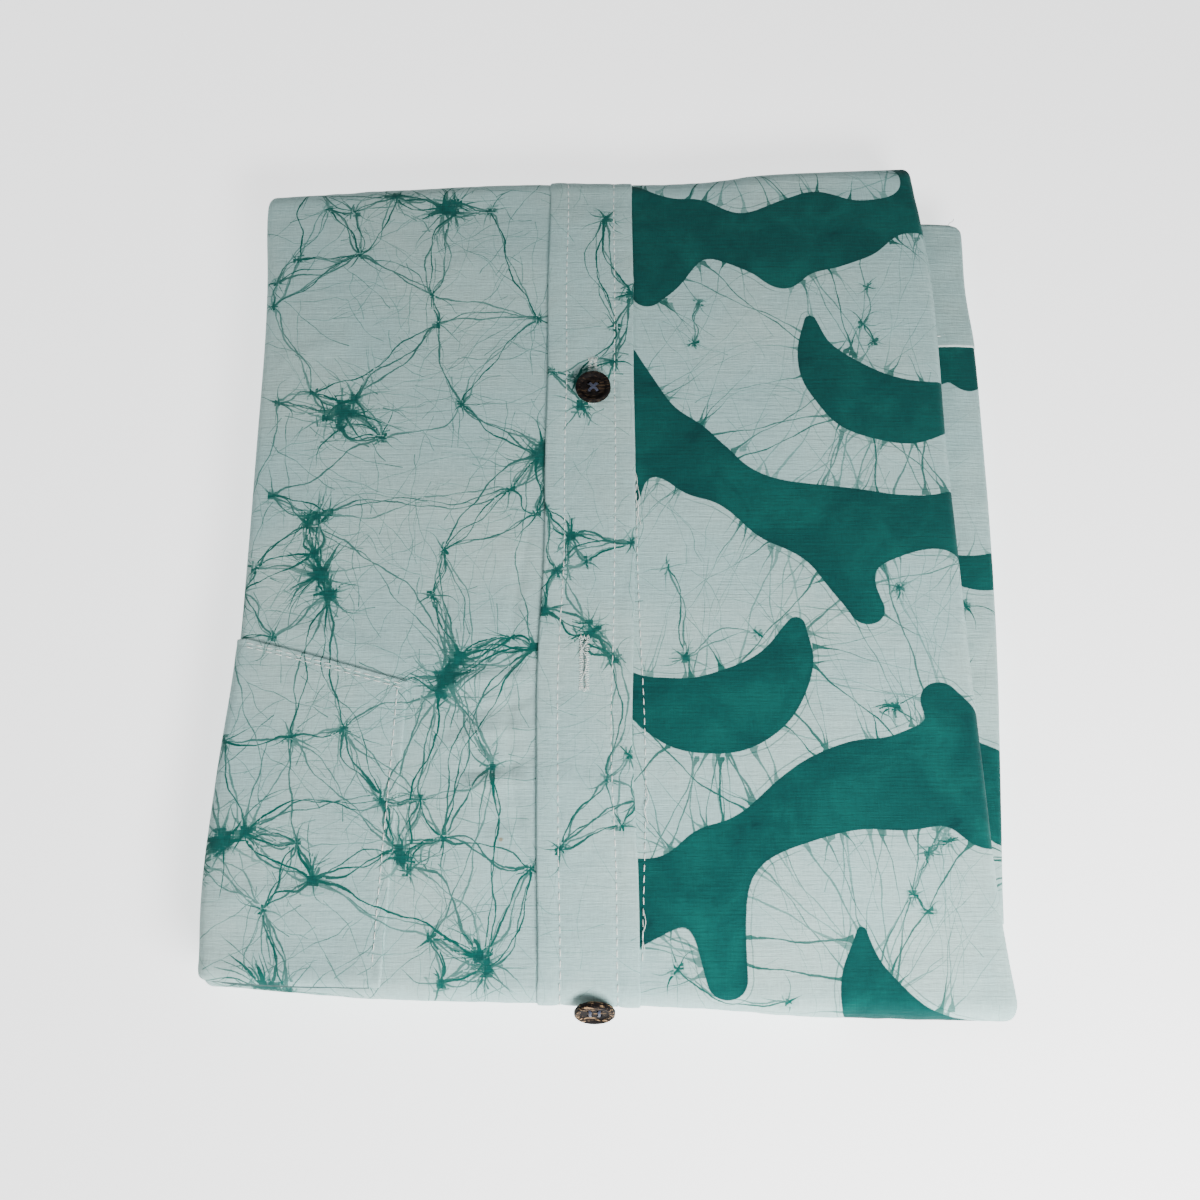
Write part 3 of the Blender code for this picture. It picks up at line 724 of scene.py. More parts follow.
def band_crackle():
    web = Crackle(31)
    web.web(scattered_knots(75, 20, (-19, -128, 12, 172), 4.0), rays=8, reach=14, neighbours=3,
            longest=60, far=30)
    web.hairs(90, (-20, -130, 13, 175), 26, (0.35, 0.7))
    web.web(scattered_knots(32, 14, (-18, 185, 11, 428)), rays=6, reach=14, neighbours=2)
    return web.ready()


def right_crackle():
    web = Crackle(41)
    web.radiate(FRONT_FIGURES, (12, -132, 124, 178), 190, 50)
    small = scattered_knots(77, 26, (14, -128, 122, 172), 2.1)
    web.web(clear_of(small, FRONT_FIGURES), rays=7, reach=15, neighbours=1, longest=40)
    web.hairs(110, (12, -132, 126, 178), 36, (0.4, 0.8), (0.06, 0.12))
    web.radiate(FRONT_FIGURES, (12, 190, 124, 428), 60, 40)
    web.hairs(30, (12, 185, 126, 430), 34, (0.2, 0.45), (0.05, 0.09))
    return web.ready()


def sleeve_crackle():
    web = Crackle(51)
    web.web(scattered_knots(79, 9, (102, -100, 138, 96), 2.4), rays=9, reach=22, neighbours=2)
    web.radiate(SLEEVE_FIGURES, (100, -90, 140, 98), 16, 24)
    web.hairs(22, (96, -110, 140, 100), 30)
    return web.ready()


# ---- Making meshes ----
def grid_faces(rows, columns):
    corner = np.arange(rows * columns).reshape(rows, columns)
    around = [corner[:-1, :-1], corner[:-1, 1:], corner[1:, 1:], corner[1:, :-1]]
    return np.stack(around, axis=-1).reshape(-1, 4)


def new_object(name, data):
    made = bpy.data.objects.new(name, data)
    bpy.context.scene.collection.objects.link(made)
    return made


def mesh_from(name, points, faces):
    """A mesh from points in millimetres and faces, as an object in the scene."""
    mesh = bpy.data.meshes.new(name)
    places = (np.asarray(points, float).reshape(-1, 3) * MM).tolist()
    mesh.from_pydata(places, [], [list(face) for face in faces])
    mesh.validate()
    mesh.shade_smooth()
    return new_object(name, mesh)


def add_map(piece, u, v):
    """The piece's cloth map, in millimetres along the cloth."""
    mesh = piece.data
    corner = np.empty(len(mesh.loops), np.int32)
    mesh.loops.foreach_get("vertex_index", corner)
    places = np.stack([np.ravel(u)[corner], np.ravel(v)[corner]], axis=1)
    mesh.uv_layers.new(name="cloth").uv.foreach_set("vector", places.ravel().astype(np.float32))


def add_values(piece, name, values, kind="FLOAT", domain="POINT"):
    attribute = piece.data.attributes.new(name, kind, domain)
    attribute.data.foreach_set("value" if kind == "FLOAT" else "vector",
                               np.ravel(values).astype(np.float32))


def cloth_piece(name, points, u, v, web, figures=(), turned=False):
    """A piece of cloth from a grid of points, with its map and its dye: figures and knots at its
    points, strands at its corners."""
    faces = grid_faces(*u.shape)
    faces = faces[:, ::-1] if turned else faces
    piece = mesh_from(name, points, faces)
    add_map(piece, u, v)
    u, v = np.ravel(u), np.ravel(v)
    away = figure_distance(u, v, figures) if figures else np.full(u.shape, NO_FIGURE)
    add_values(piece, "figure", away)
    add_values(piece, "knot", web.knot_distance(u, v))
    for slot, values in enumerate(web.strands_on(u[faces], v[faces])):
        add_values(piece, f"strand_{slot}", values, "FLOAT_VECTOR", "CORNER")
    return piece


def sheet_piece(name, across, along, lift, web, figures=()):
    """A cloth piece on the strip. Its first and last rows get an edge turned in below the cloth."""
    along = np.broadcast_to(along[:, None], across.shape)
    u, v = on_cloth(across, along)
    sheet = np.stack([across, along, lift + relief(u, v), u, v])
    for inward in (TUCK_REACH, -TUCK_REACH):
        for step, drop in ((0.0, EDGE_DROP), (inward, TUCK_DROP)):
            line = sheet[:, :1] if inward > 0 else sheet[:, -1:]
            line = line + np.array([0.0, step, -drop, 0.0, 0.0])[:, None, None]
            sheet = np.concatenate([line, sheet] if inward > 0 else [sheet, line], axis=1)
    across, along, lift, u, v = sheet
    return cloth_piece(name, on_strip(across, along, lift), u, v, web, figures)


def run_rows():
    """Along coordinates from the collar end's ledge to the hem, evenly spaced on the cloth."""
    parts = (
        (-3.0, -2.0, LEDGE / UNDER_STEP),
        (-2.0, 0.0, math.pi * NEAR_ROLL / (1.2 * TOP_STEP)),
        (0.0, 1.0, TOP_LENGTH / TOP_STEP),
        (1.0, 3.0, math.pi * FAR_ROLL / (1.3 * TOP_STEP)),
        (3.0, 4.0, HEM_RUN / UNDER_STEP),
    )
    rows = [np.linspace(start, end, int(count), endpoint=False) for start, end, count in parts]
    return np.concatenate(rows + [[4.0]])


def station(along):
    near, far = near_edge(0.0) + NEAR_ROLL, far_edge(0.0) - FAR_ROLL
    y = mix(near, far, np.clip(along, 0, 1))
    y = np.where(along < -2, near + (-along - 2) * LEDGE, y)
    return np.where(along > 3, far - (along - 3) * HEM_RUN, y)


def side_turns(along, columns):
    """Across distances round a long side's roll, one row for each along coordinate."""
    turn = mix(SIDE_TURN, LEDGE_TURN, smooth((-2 - along) / 0.35))
    return turn[:, None] * np.linspace(1, 0, columns, endpoint=False)[None, :]


def front_piece(name, side, width, web, figures=()):
    """A front, from its seam under the band out to its own side and round it."""
    along = run_rows()
    seam = across_at(FRONT_SEAM + side * FRONT_SEAM_GAP, station(along))[:, None]
    share = np.linspace(0, 1, int(width / TOP_STEP))[None, :]
    turns = side_turns(along, 8)
    if side < 0:
        across = np.concatenate([-turns, seam * share], axis=1)
    else:
        across = np.concatenate([seam + (1 - seam) * share, 1 + turns[:, ::-1]], axis=1)
    return sheet_piece(name, across, along, 0.0, web, figures)


def band_edges(along):
    """The band's left and right x on each row, slightly bowed on top."""
    y = station(along)
    bow = BAND_BOW * np.exp(-(((y - BAND_BOW_Y) / BAND_BOW_RUN) ** 2)) * ((along >= 0) & (along <= 1))
    waver = 0.22 * np.sin(y / 11.0) * ((along >= 0) & (along <= 1))
    return BAND_LEFT - bow + waver, BAND_RIGHT - bow - 0.6 * waver, y


def edge_round(distance, radius):
    """How high a folded edge has risen this far in from it, as a share."""
    share = np.clip(distance / radius, 0, 1)
    return np.sqrt(1 - (1 - share) ** 2)


def stitch_pinch(distance):
    return np.exp(-((distance / 0.85) ** 2))


def band_height(along):
    """The band's height above the front. The end folds press it down."""
    return BAND_HEIGHT * (0.45 + 0.55 * smooth(along / 0.04) * smooth((1 - along) / 0.05))


def placket_piece(web):
    along = run_rows()
    left, right, y = band_edges(along)
    offsets = np.concatenate([[0, 0.12, 0.35, 0.7, 1.1], np.linspace(1.8, 29.4, 29),
                              [30.1, 30.5, 30.85, 31.08, 31.2]])
    share = offsets / offsets[-1]
    x = mix(left[:, None], right[:, None], share[None, :])
    across = across_at(x, y[:, None])
    inset = np.minimum(offsets, offsets[-1] - offsets)[None, :]
    pucker = 0.75 + 0.25 * np.sin(y * 2 * math.pi / STITCH_PITCH)[:, None]
    lift = BAND_CLEAR + band_height(along)[:, None] * edge_round(inset, 0.6)
    lift = lift - 0.3 * stitch_pinch(inset - BAND_STITCH_INSET) * pucker
    lift = lift + 0.14 * np.exp(-(((inset - 3.4) / 2.2) ** 2))
    return sheet_piece("placket_cloth", across, along, lift, web)


POCKET_EDGE = np.array([(-117.0, -13.0, -120.0), (-96.0, -18.5, -121.5), (-62.5, -28.0, -122.5)])
POCKET_FOLD = -117.0        # where the pocket starts to turn round the left side
POCKET_SIDE = -62.5
POCKET_LEAN = 3.2
MOUTH_STAND = 1.35          # how far the mouth's edge stands off the front


def pocket_piece(web):
    """The pocket patch. Its mouth edge is folded under and stands a little open."""
    height = np.concatenate([np.linspace(0, 0.97, 100), [0.978, 0.986, 0.993, 0.997, 1.0]])
    turned = np.linspace(-0.98, 0, 7, endpoint=False)
    side = np.concatenate([np.linspace(0, 0.965, 54), [0.975, 0.985, 0.993, 0.998, 1.0]])
    share = height[:, None]
    end = POCKET_SIDE - POCKET_LEAN * (1 - share)
    x = np.concatenate([np.full((len(height), len(turned)), POCKET_FOLD),
                        mix(POCKET_FOLD, end, side[None, :])], axis=1)
    top, mouth = reading(POCKET_EDGE, 1, x), reading(POCKET_EDGE, 2, x)
    y = mix(mouth, top, share)
    along = along_at(x, y)
    across = across_at(x, y)
    across[:, :len(turned)] = turned[None, :]
    from_side = np.where(across < 0, 50.0, end - x)
    from_top = top - y
    from_mouth = y - mouth
    rise = edge_round(np.minimum(from_side, from_top * 0.97), 0.55)
    opened = (MOUTH_STAND - POCKET_HEIGHT) * np.exp(-((from_mouth / 7.0) ** 2))
    lift = POCKET_CLEAR + POCKET_HEIGHT * rise + opened
    pucker = 0.7 + 0.3 * np.sin((x + y) * 2 * math.pi / STITCH_PITCH)
    pinch = np.maximum(stitch_pinch(from_top - 2.2), stitch_pinch(from_side - 3.2))
    lift = lift - 0.22 * pinch * pucker + 0.12 * np.exp(-(((from_mouth - 3) / 2.0) ** 2))
    u, v = on_cloth(across, along)
    lift = lift + relief(u, v)
    under = [lift[:1] - 0.35, lift[:1] - 0.5, lift[:1] - 0.5]
    back = [y[:1], y[:1] + 0.7, y[:1] + 5.0]
    along = np.concatenate([along_at(x[:1], row) for row in back[::-1]] + [along])
    across = np.concatenate([across[:1]] * 3 + [across])
    lift = np.concatenate(under[::-1] + [lift])
    u, v = np.concatenate([u[:1]] * 3 + [u]), np.concatenate([v[:1]] * 3 + [v])
    return cloth_piece("pocket_cloth", on_strip(across, along, lift), u, v, web)


def sleeve_grid(stations, corner_radius, swell):
    """Points of the flattened sleeve: over its top, round its outer fold and back below."""
    last = stations[-1]
    past = np.maximum(stations - (last - corner_radius), 0)
    corner = corner_radius - np.sqrt(np.maximum(corner_radius ** 2 - past ** 2, 0))
    radius = SLEEVE_THICKNESS / 2 + swell
    middle = SLEEVE_TOP - SLEEVE_THICKNESS / 2
    outer = (sleeve_edge(stations) + swell - corner)[:, None]
    inner = (sleeve_edge(stations) - SLEEVE_RUN_IN)[:, None]
    flat = np.linspace(0, 1, 20)[None, :]
    turn = np.linspace(0, math.pi, 13)[None, 1:-1]
    top_x = mix(inner, outer - radius, flat)
    y = stations[:, None]
    wobble = 0.35 * waves(top_x, y, 26, 14) + 0.12 * waves(top_x, y, 9, 15)
    sag = -0.5 * smooth((top_x - outer + 9) / 9)
    top_z = middle + radius + wobble * smooth((top_x - inner) / 6) + sag
    squeeze = (top_z[:, -1:] - middle) / radius
    round_x = outer - radius + radius * np.sin(turn)
    round_z = middle + radius * np.cos(turn) * np.where(turn < math.pi / 2, squeeze, 1.0)
    low_x = top_x[:, ::-1]
    low_z = np.full(low_x.shape, middle - radius)
    x = np.concatenate([top_x, round_x, low_x], axis=1)
    z = np.concatenate([top_z, round_z, low_z], axis=1)
    arc = outer - radius + radius * turn
    u = np.concatenate([top_x, arc, 2 * outer - radius + radius * math.pi - low_x - outer], axis=1)
    y = np.broadcast_to(y, x.shape)
    return in_model(x, y, z), u, y


def sleeve_cloth(name, stations, corner_radius, swell, web, figures=()):
    points, u, v = sleeve_grid(stations, corner_radius, swell)
    piece = cloth_piece(name, points, u, v, web, figures, turned=True)
    thick = piece.modifiers.new("cloth_thickness", "SOLIDIFY")
    thick.thickness = 0.4 * MM
    thick.offset = -1
    return piece


# How far in the pile stands at each height: z, inset.
LAYER_LEVELS = np.array([
    (2.9, 2.4), (3.7, 1.5), (4.5, 0.9), (5.3, 0.8), (5.9, 2.4), (6.5, 1.3), (7.35, 1.9), (7.7, 1.7),
    (8.1, 1.2), (8.35, 1.0), (9.0, 0.9), (10.2, 1.3), (11.2, 2.8), (12.1, 3.2), (12.4, 2.6),
    (13.3, 2.0), (14.0, 1.8), (15.0, 1.5), (16.0, 1.9), (16.6, 3.2),
])
LAYER_PITCH = 0.78          # height of one hidden layer of cloth at the edges
SLOT_REACH = 26.0           # the sleeve's slot runs this far into the pile
# The pile's corners, each with the direction that the side after it faces.
PILE_CORNERS = ((0, 0, -1, 0), (0, 1, 0, 1), (1, 1, 1, 0), (1, 0, 0, -1))


def hidden_layers_piece():
    """The hidden layers' edges, as a pile of soft folds between the outer strips."""
    heights, insets = LAYER_LEVELS.T
    z = np.linspace(heights[0], heights[-1], 58)
    side = np.interp(z, heights, insets)
    slot = np.where((z > 8.2) & (z < 12.3), 1.0, 0.0)
    near_depth, far_depth = NEAR_ROLL - 1.2, FAR_ROLL - 1.5
    near = NEAR_ROLL - np.sqrt(np.maximum(near_depth ** 2 - (z - PILE_HEIGHT + NEAR_ROLL) ** 2, 0))
    near = np.where(z < 7.55, 56.0, near)
    far = FAR_ROLL - np.sqrt(np.maximum(far_depth ** 2 - (z - FAR_ROLL) ** 2, 0))
    far = far + 1.3 * smooth((FAR_ROLL + 2 - z) / FAR_ROLL)
    corner = 4.5
    outline = []
    for index, (share_x, share_y, face_x, face_y) in enumerate(PILE_CORNERS):
        start = math.radians(270 - 90 * index)
        for angle in np.linspace(start, start - math.pi / 2, 6):
            outline.append((share_x, share_y, math.cos(angle), math.sin(angle)))
        next_x, next_y = PILE_CORNERS[(index + 1) % 4][:2]
        for share in np.linspace(0, 1, 60 if index % 2 else 140)[1:-1]:
            outline.append((mix(share_x, next_x, share), mix(share_y, next_y, share), face_x, face_y))
    outline = np.array(outline)
    share_x, share_y, shift_x, shift_y = (outline[:, k][None, :] for k in range(4))
    x = mix(-122.0, 122.0, share_x) + 0 * z[:, None]
    for _ in range(3):
        low = near_edge(x) + near[:, None] + corner
        high = far_edge(x) - far[:, None] - corner
        y = mix(low, high, share_y) + shift_y * corner
        layer = z[:, None] / LAYER_PITCH + 0.9 * waves(y, 0 * y, 90, 61) * (share_x - 0.5)
        scallop = 0.55 * (1 - np.abs(np.sin(layer * math.pi))) + 0.12 * waves(y, z[:, None] * 6, 22, 62)
        inside_slot = slot[:, None] * (shift_x > 0.99) * (y > SLEEVE_START - 1) * (y < BAND_END + 1)
        inset = side[:, None] + scallop
        start = left_edge(y) + inset + corner
        end = right_edge(y) - inset - corner - SLOT_REACH * inside_slot
        x = mix(start, end, share_x) + shift_x * corner
    points = in_model(x, y, z[:, None] + 0 * x).reshape(-1, 3)
    rows, columns = x.shape
    faces = [list(f) for f in grid_faces(rows, columns)]
    for row in range(rows - 1):
        faces.append([row * columns + columns - 1, row * columns, (row + 1) * columns,
                      (row + 1) * columns + columns - 1])
    faces = [f[::-1] for f in faces]
    ring = list(range(columns))
    caps = [ring, [(rows - 1) * columns + corner for corner in ring[::-1]]]
    piece = mesh_from("hidden_layers", points, faces + caps)
    add_map(piece, z[:, None] * 3 + 0 * x, y)
    add_values(piece, "figure", np.full(len(points), NO_FIGURE))
    add_values(piece, "knot", np.full(len(points), NO_KNOT))
    return piece


# ---- Shader tools ----
def add_node(tree, kind, settings=(), sockets=()):
    """A node. Each socket takes a constant, a Value, or another node's output."""
    made = tree.nodes.new(kind)
    for key, value in dict(settings).items():
        setattr(made, key, value)
    for key, value in dict(sockets).items():
        value = value.socket if isinstance(value, Value) else value
        if hasattr(value, "node"):
            tree.links.new(value, made.inputs[key])
        else:
            made.inputs[key].default_value = value
    return made


class Value:
    """A number in a material. Sums on it add the nodes that work them out."""

    def __init__(self, finish, socket):
        self.finish, self.socket = finish, socket

    def _math(self, operation, *others, turned=False):
        values = [self, *others][::-1] if turned else [self, *others]
        node = self.finish.node("ShaderNodeMath", {"operation": operation}, dict(enumerate(values)))
        return Value(self.finish, node.outputs[0])

    def __add__(self, other):
        return self._math("ADD", other)

    def __sub__(self, other):
        return self._math("SUBTRACT", other)

    def __rsub__(self, other):
        return self._math("SUBTRACT", other, turned=True)

    def __mul__(self, other):
        return self._math("MULTIPLY", other)

    __radd__ = __add__
    __rmul__ = __mul__

    def __abs__(self):
        return self._math("ABSOLUTE")

    def highest(self, other):
        return self._math("MAXIMUM", other)

    def rising(self, low, high):
        """0 below low, 1 above high, and soft between. High may be the lower of the two."""
        node = self.finish.node("ShaderNodeMapRange", {"interpolation_type": "SMOOTHSTEP"},
                                {"Value": self, "From Min": low, "From Max": high})
        return Value(self.finish, node.outputs[0])


class Finish:
    """A material under construction."""

    def __init__(self, name, roughness, specular=0.25, sheen=0.0, coat=0.0):
        self.material = bpy.data.materials.new(name)
        self.material.use_nodes = True
        self.tree = self.material.node_tree
        self.shader = self.tree.nodes["Principled BSDF"]
        for name, value in (("Roughness", roughness), ("Specular IOR Level", specular),
                            ("Sheen Weight", sheen), ("Sheen Roughness", 0.6),
                            ("Coat Weight", coat), ("Coat Roughness", 0.25)):
            self.shader.inputs[name].default_value = value

    def node(self, kind, settings=(), sockets=()):
        return add_node(self.tree, kind, settings, sockets)

    def attribute(self, name):
        return self.node("ShaderNodeAttribute", {"attribute_name": name})

    def number(self, name):
        return Value(self, self.attribute(name).outputs["Fac"])

    def cloth_map(self):
        return self.node("ShaderNodeUVMap", {"uv_map": "cloth"}).outputs["UV"]

    def object_place(self):
        return self.node("ShaderNodeTexCoord").outputs["Object"]

    def parts_of(self, vector):
        """A vector's three parts, as values."""
        parts = self.node("ShaderNodeSeparateXYZ", {}, {"Vector": vector}).outputs
        return [Value(self, part) for part in parts]

    def stretched(self, vector, scale=(1, 1, 1), turn=0.0, shift=(0, 0, 0)):
        return self.node("ShaderNodeMapping", {}, {
            "Vector": vector, "Scale": scale, "Location": shift, "Rotation": (0, 0, turn),
        }).outputs["Vector"]

    def noise(self, vector, scale, detail=2.0, roughness=0.5, distortion=0.0):
        made = self.node("ShaderNodeTexNoise", {"noise_dimensions": "3D"},
                         {"Vector": vector, "Scale": scale, "Detail": detail, "Roughness": roughness,
                          "Distortion": distortion})
        return Value(self, made.outputs["Fac"])

    def blend(self, share, first, second, way="MIX"):
        made = self.node("ShaderNodeMix", {"data_type": "RGBA", "blend_type": way, "clamp_factor": True},
                         {0: share, 6: first, 7: second})
        return made.outputs[2]

    def bump(self, height, distance, strength, normal=None):
        sockets = {"Height": height, "Distance": distance, "Strength": strength}
        if normal is not None:
            sockets["Normal"] = normal
        return self.node("ShaderNodeBump", {}, sockets).outputs["Normal"]

    def wear(self, name, value):
        socket = value.socket if isinstance(value, Value) else value
        self.tree.links.new(socket, self.shader.inputs[name])

    def done(self, normal=None):
        if normal is not None:
            self.wear("Normal", normal)
        return self.material


def colour(red, green, blue):
    """A colour given as it looks on screen, 0 to 255, as the light values a shader takes."""
    def light(value):
        value /= 255
        return value / 12.92 if value <= 0.04045 else ((value + 0.055) / 1.055) ** 2.4
    return (light(red), light(green), light(blue), 1.0)


PALE = colour(163, 197, 195)
PALE_WARM = colour(174, 202, 197)
PALE_DEEP = colour(148, 184, 182)
TEAL = colour(1, 71, 68)
TEAL_DARK = colour(0, 50, 52)
TEAL_LIGHT = colour(8, 92, 85)
VEIN = colour(0, 86, 77)
HAIR = colour(38, 122, 111)
RUST = colour(140, 118, 84)


def batik(name, pale_shift=0.0, dyed=True, figured=False, fleck=None, painted_highlight_at=None):
    """Plain-weave cotton with wax-resist dye. pale_shift deepens or lightens the cloth. Figured cloth
    also has the figures, with a fine line here and there beside them. fleck is the place of one rust
    speck. The last argument is the place, along the cloth, of a painted highlight: a light line painted
    at its edge."""
    finish = Finish(name, roughness=0.86, specular=0.08, sheen=0.06)
    place = finish.cloth_map()
    weft = finish.noise(finish.stretched(place, (0.36, 2.6, 1)), 1.0, 2.0, 0.62)
    warp = finish.noise(finish.stretched(place, (2.3, 0.2, 1), shift=(7, 3, 0)), 1.0, 2.0, 0.6)
    slub = finish.noise(finish.stretched(place, (0.045, 1.1, 1), shift=(3, 9, 0)), 1.0, 1.0, 0.5)
    grain = finish.noise(place, 1.9, 2.0, 0.7)
    cloud = finish.noise(place, 0.022, 4.0, 0.55)
    patch = finish.noise(finish.stretched(place, shift=(40, 9, 0)), 0.11, 3.0, 0.6)

    pale = finish.blend(cloud.rising(0.35, 0.68), PALE, PALE_WARM)
    pale = finish.blend(patch.rising(0.45, 0.85) * 0.35, pale, PALE_DEEP)
    shade = 0.5 + pale_shift
    thread = (weft - 0.5) * 0.42 + (warp - 0.5) * 0.32 + (slub - 0.5) * 0.15 + (grain - 0.5) * 0.2
    fray = (weft - 0.5) * 2.2 + (warp - 0.5) * 1.7

    base = pale
    if dyed:
        jitter = (grain - 0.5) * 0.5 + (finish.noise(place, 0.55, 2.0, 0.6) - 0.5) * 0.9
        thickness = finish.noise(finish.stretched(place, shift=(11, 5, 0)), 0.5, 2.0, 0.6)
        veins = None
        for slot in range(STRANDS_KEPT):
            aside, half, power = finish.parts_of(finish.attribute(f"strand_{slot}").outputs["Vector"])
            ragged = half * (thickness * 1.3 + 0.42)
            mask = (ragged - abs(aside + jitter * 0.12 + fray * 0.07)).rising(-0.1, 0.12) * power
            veins = mask if veins is None else veins.highest(mask)
        knot = finish.number("knot")
        knots = (knot + fray + jitter * 0.9 + (patch - 0.5) * 3.0).rising(0.45, -0.6)
        bleed = (knot + fray * 1.6 + (patch - 0.5) * 6.0).rising(3.2, -0.8) * 0.3
        tone = finish.noise(finish.stretched(place, shift=(5, 50, 0)), 0.35, 3.0, 0.65)
        knot_dye = finish.blend(tone.rising(0.3, 0.75), TEAL, TEAL_LIGHT)
        vein_dye = finish.blend(veins.rising(0.35, 0.95), HAIR, VEIN)
        base = finish.blend(bleed, base, HAIR)
        base = finish.blend(veins * (patch * 0.3 + 0.86), base, vein_dye)
        base = finish.blend(knots * (tone * 0.4 + 0.68), base, knot_dye)
        if figured:
            figure = finish.number("figure")
            fine = (grain - 0.5) * 0.22
            line = (0.17 - abs(figure - 1.7 + (patch - 0.5) * 1.4)).rising(-0.1, 0.1)
            line = line * cloud.rising(0.42, 0.56) * 0.55
            base = finish.blend(line, base, VEIN)
            inside = (figure + fine).rising(0.16, -0.16)
            rim = (figure + fine).rising(-1.6, -0.1)
            blotch = finish.noise(finish.stretched(place, shift=(90, 20, 0)), 0.045, 5.0, 0.62, 0.6)
            dye = finish.blend(blotch.rising(0.4, 0.72) * 0.7, TEAL, TEAL_LIGHT)
            dye = finish.blend(blotch.rising(0.42, 0.28) * 0.6, dye, TEAL_DARK)
            dye = finish.blend(rim * 0.2, dye, TEAL_DARK)
            base = finish.blend(inside, base, dye)
    if fleck is not None:
        off_u, off_v = (part - middle for part, middle in zip(finish.parts_of(place), fleck))
        away = (off_u * off_u + off_v * off_v)._math("SQRT")
        base = finish.blend((away + (grain - 0.5) * 0.9).rising(1.0, 0.3) * 0.75, base, RUST)
    # Painted highlight: a near-white line painted along the cloth's edge, standing in for the light
    # caught there.
    if painted_highlight_at is not None:
        rim = (finish.parts_of(place)[1] - painted_highlight_at).rising(1.1, 0.35)
        base = finish.blend(rim * 0.8, base, colour(222, 236, 232))
    shaded = finish.node("ShaderNodeHueSaturation", {}, {"Color": base, "Value": thread + shade + 0.5})
    finish.wear("Base Color", shaded.outputs["Color"])
    finish.wear("Roughness", (weft - 0.5) * 0.15 + 0.88)
    fine = finish.bump((weft * 0.55 + warp * 0.45) + slub * 0.7, 0.0003, 0.9)
    broad = finish.bump(finish.noise(place, 0.09, 3.0, 0.5), 0.0012, 0.32, fine)
    return finish.done(broad)


def thread_finish(name, roughness, dark, light):
    """Twisted cotton thread."""
    finish = Finish(name, roughness=roughness, specular=0.2, sheen=0.2)
    twist = finish.noise(finish.stretched(finish.object_place(), (2600, 2600, 2600)), 1.0, 2.0, 0.6)
    finish.wear("Base Color", finish.blend(twist, colour(*dark), colour(*light)))
    return finish.done(finish.bump(twist, 0.00008, 0.6))


def painted_shade_finish(name, dark, light):
    """Painted shade: dark cloth colour that stands in for the shade in a slit or an opening."""
    finish = Finish(name, roughness=0.95, specular=0.05)
    fibre = finish.noise(finish.stretched(finish.object_place(), (900, 300, 900)), 1.0, 3.0, 0.6)
    finish.wear("Base Color", finish.blend(fibre, colour(*dark), colour(*light)))
    return finish.done(finish.bump(fibre, 0.0001, 0.5))


def coconut_finish(name, centre, tan, turn):
    """Coconut shell: dark brown with short tan fibres. centre is the button's middle."""
    finish = Finish(name, roughness=0.6, specular=0.08)
    moved = finish.node("ShaderNodeVectorMath", {"operation": "SUBTRACT"},
                        {0: finish.object_place(), 1: centre}).outputs[0]
    across = finish.stretched(moved, (230, 1700, 1300), turn)
    fibre = finish.noise(across, 1.0, 4.0, 0.65)
    mottle = finish.noise(moved, 700.0, 4.0, 0.6)
    base = finish.blend(mottle.rising(0.3, 0.72), colour(10, 9, 10), colour(28, 24, 23))
    base = finish.blend(fibre.rising(0.54, 0.62) * tan, base, colour(178, 144, 108))
    finish.wear("Base Color", base)
    finish.wear("Roughness", mottle * 0.25 + 0.5)
    return finish.done(finish.bump(fibre + mottle * 0.5, 0.00012, 0.5))


def floor_finish():
    finish = Finish("pale_floor", roughness=0.9, specular=0.1)
    finish.shader.inputs["Base Color"].default_value = (0.94, 0.94, 0.94, 1.0)
    finish.shader.inputs["Emission Color"].default_value = (1.0, 1.0, 1.0, 1.0)
    finish.shader.inputs["Emission Strength"].default_value = FLOOR_GLOW
    return finish.done()


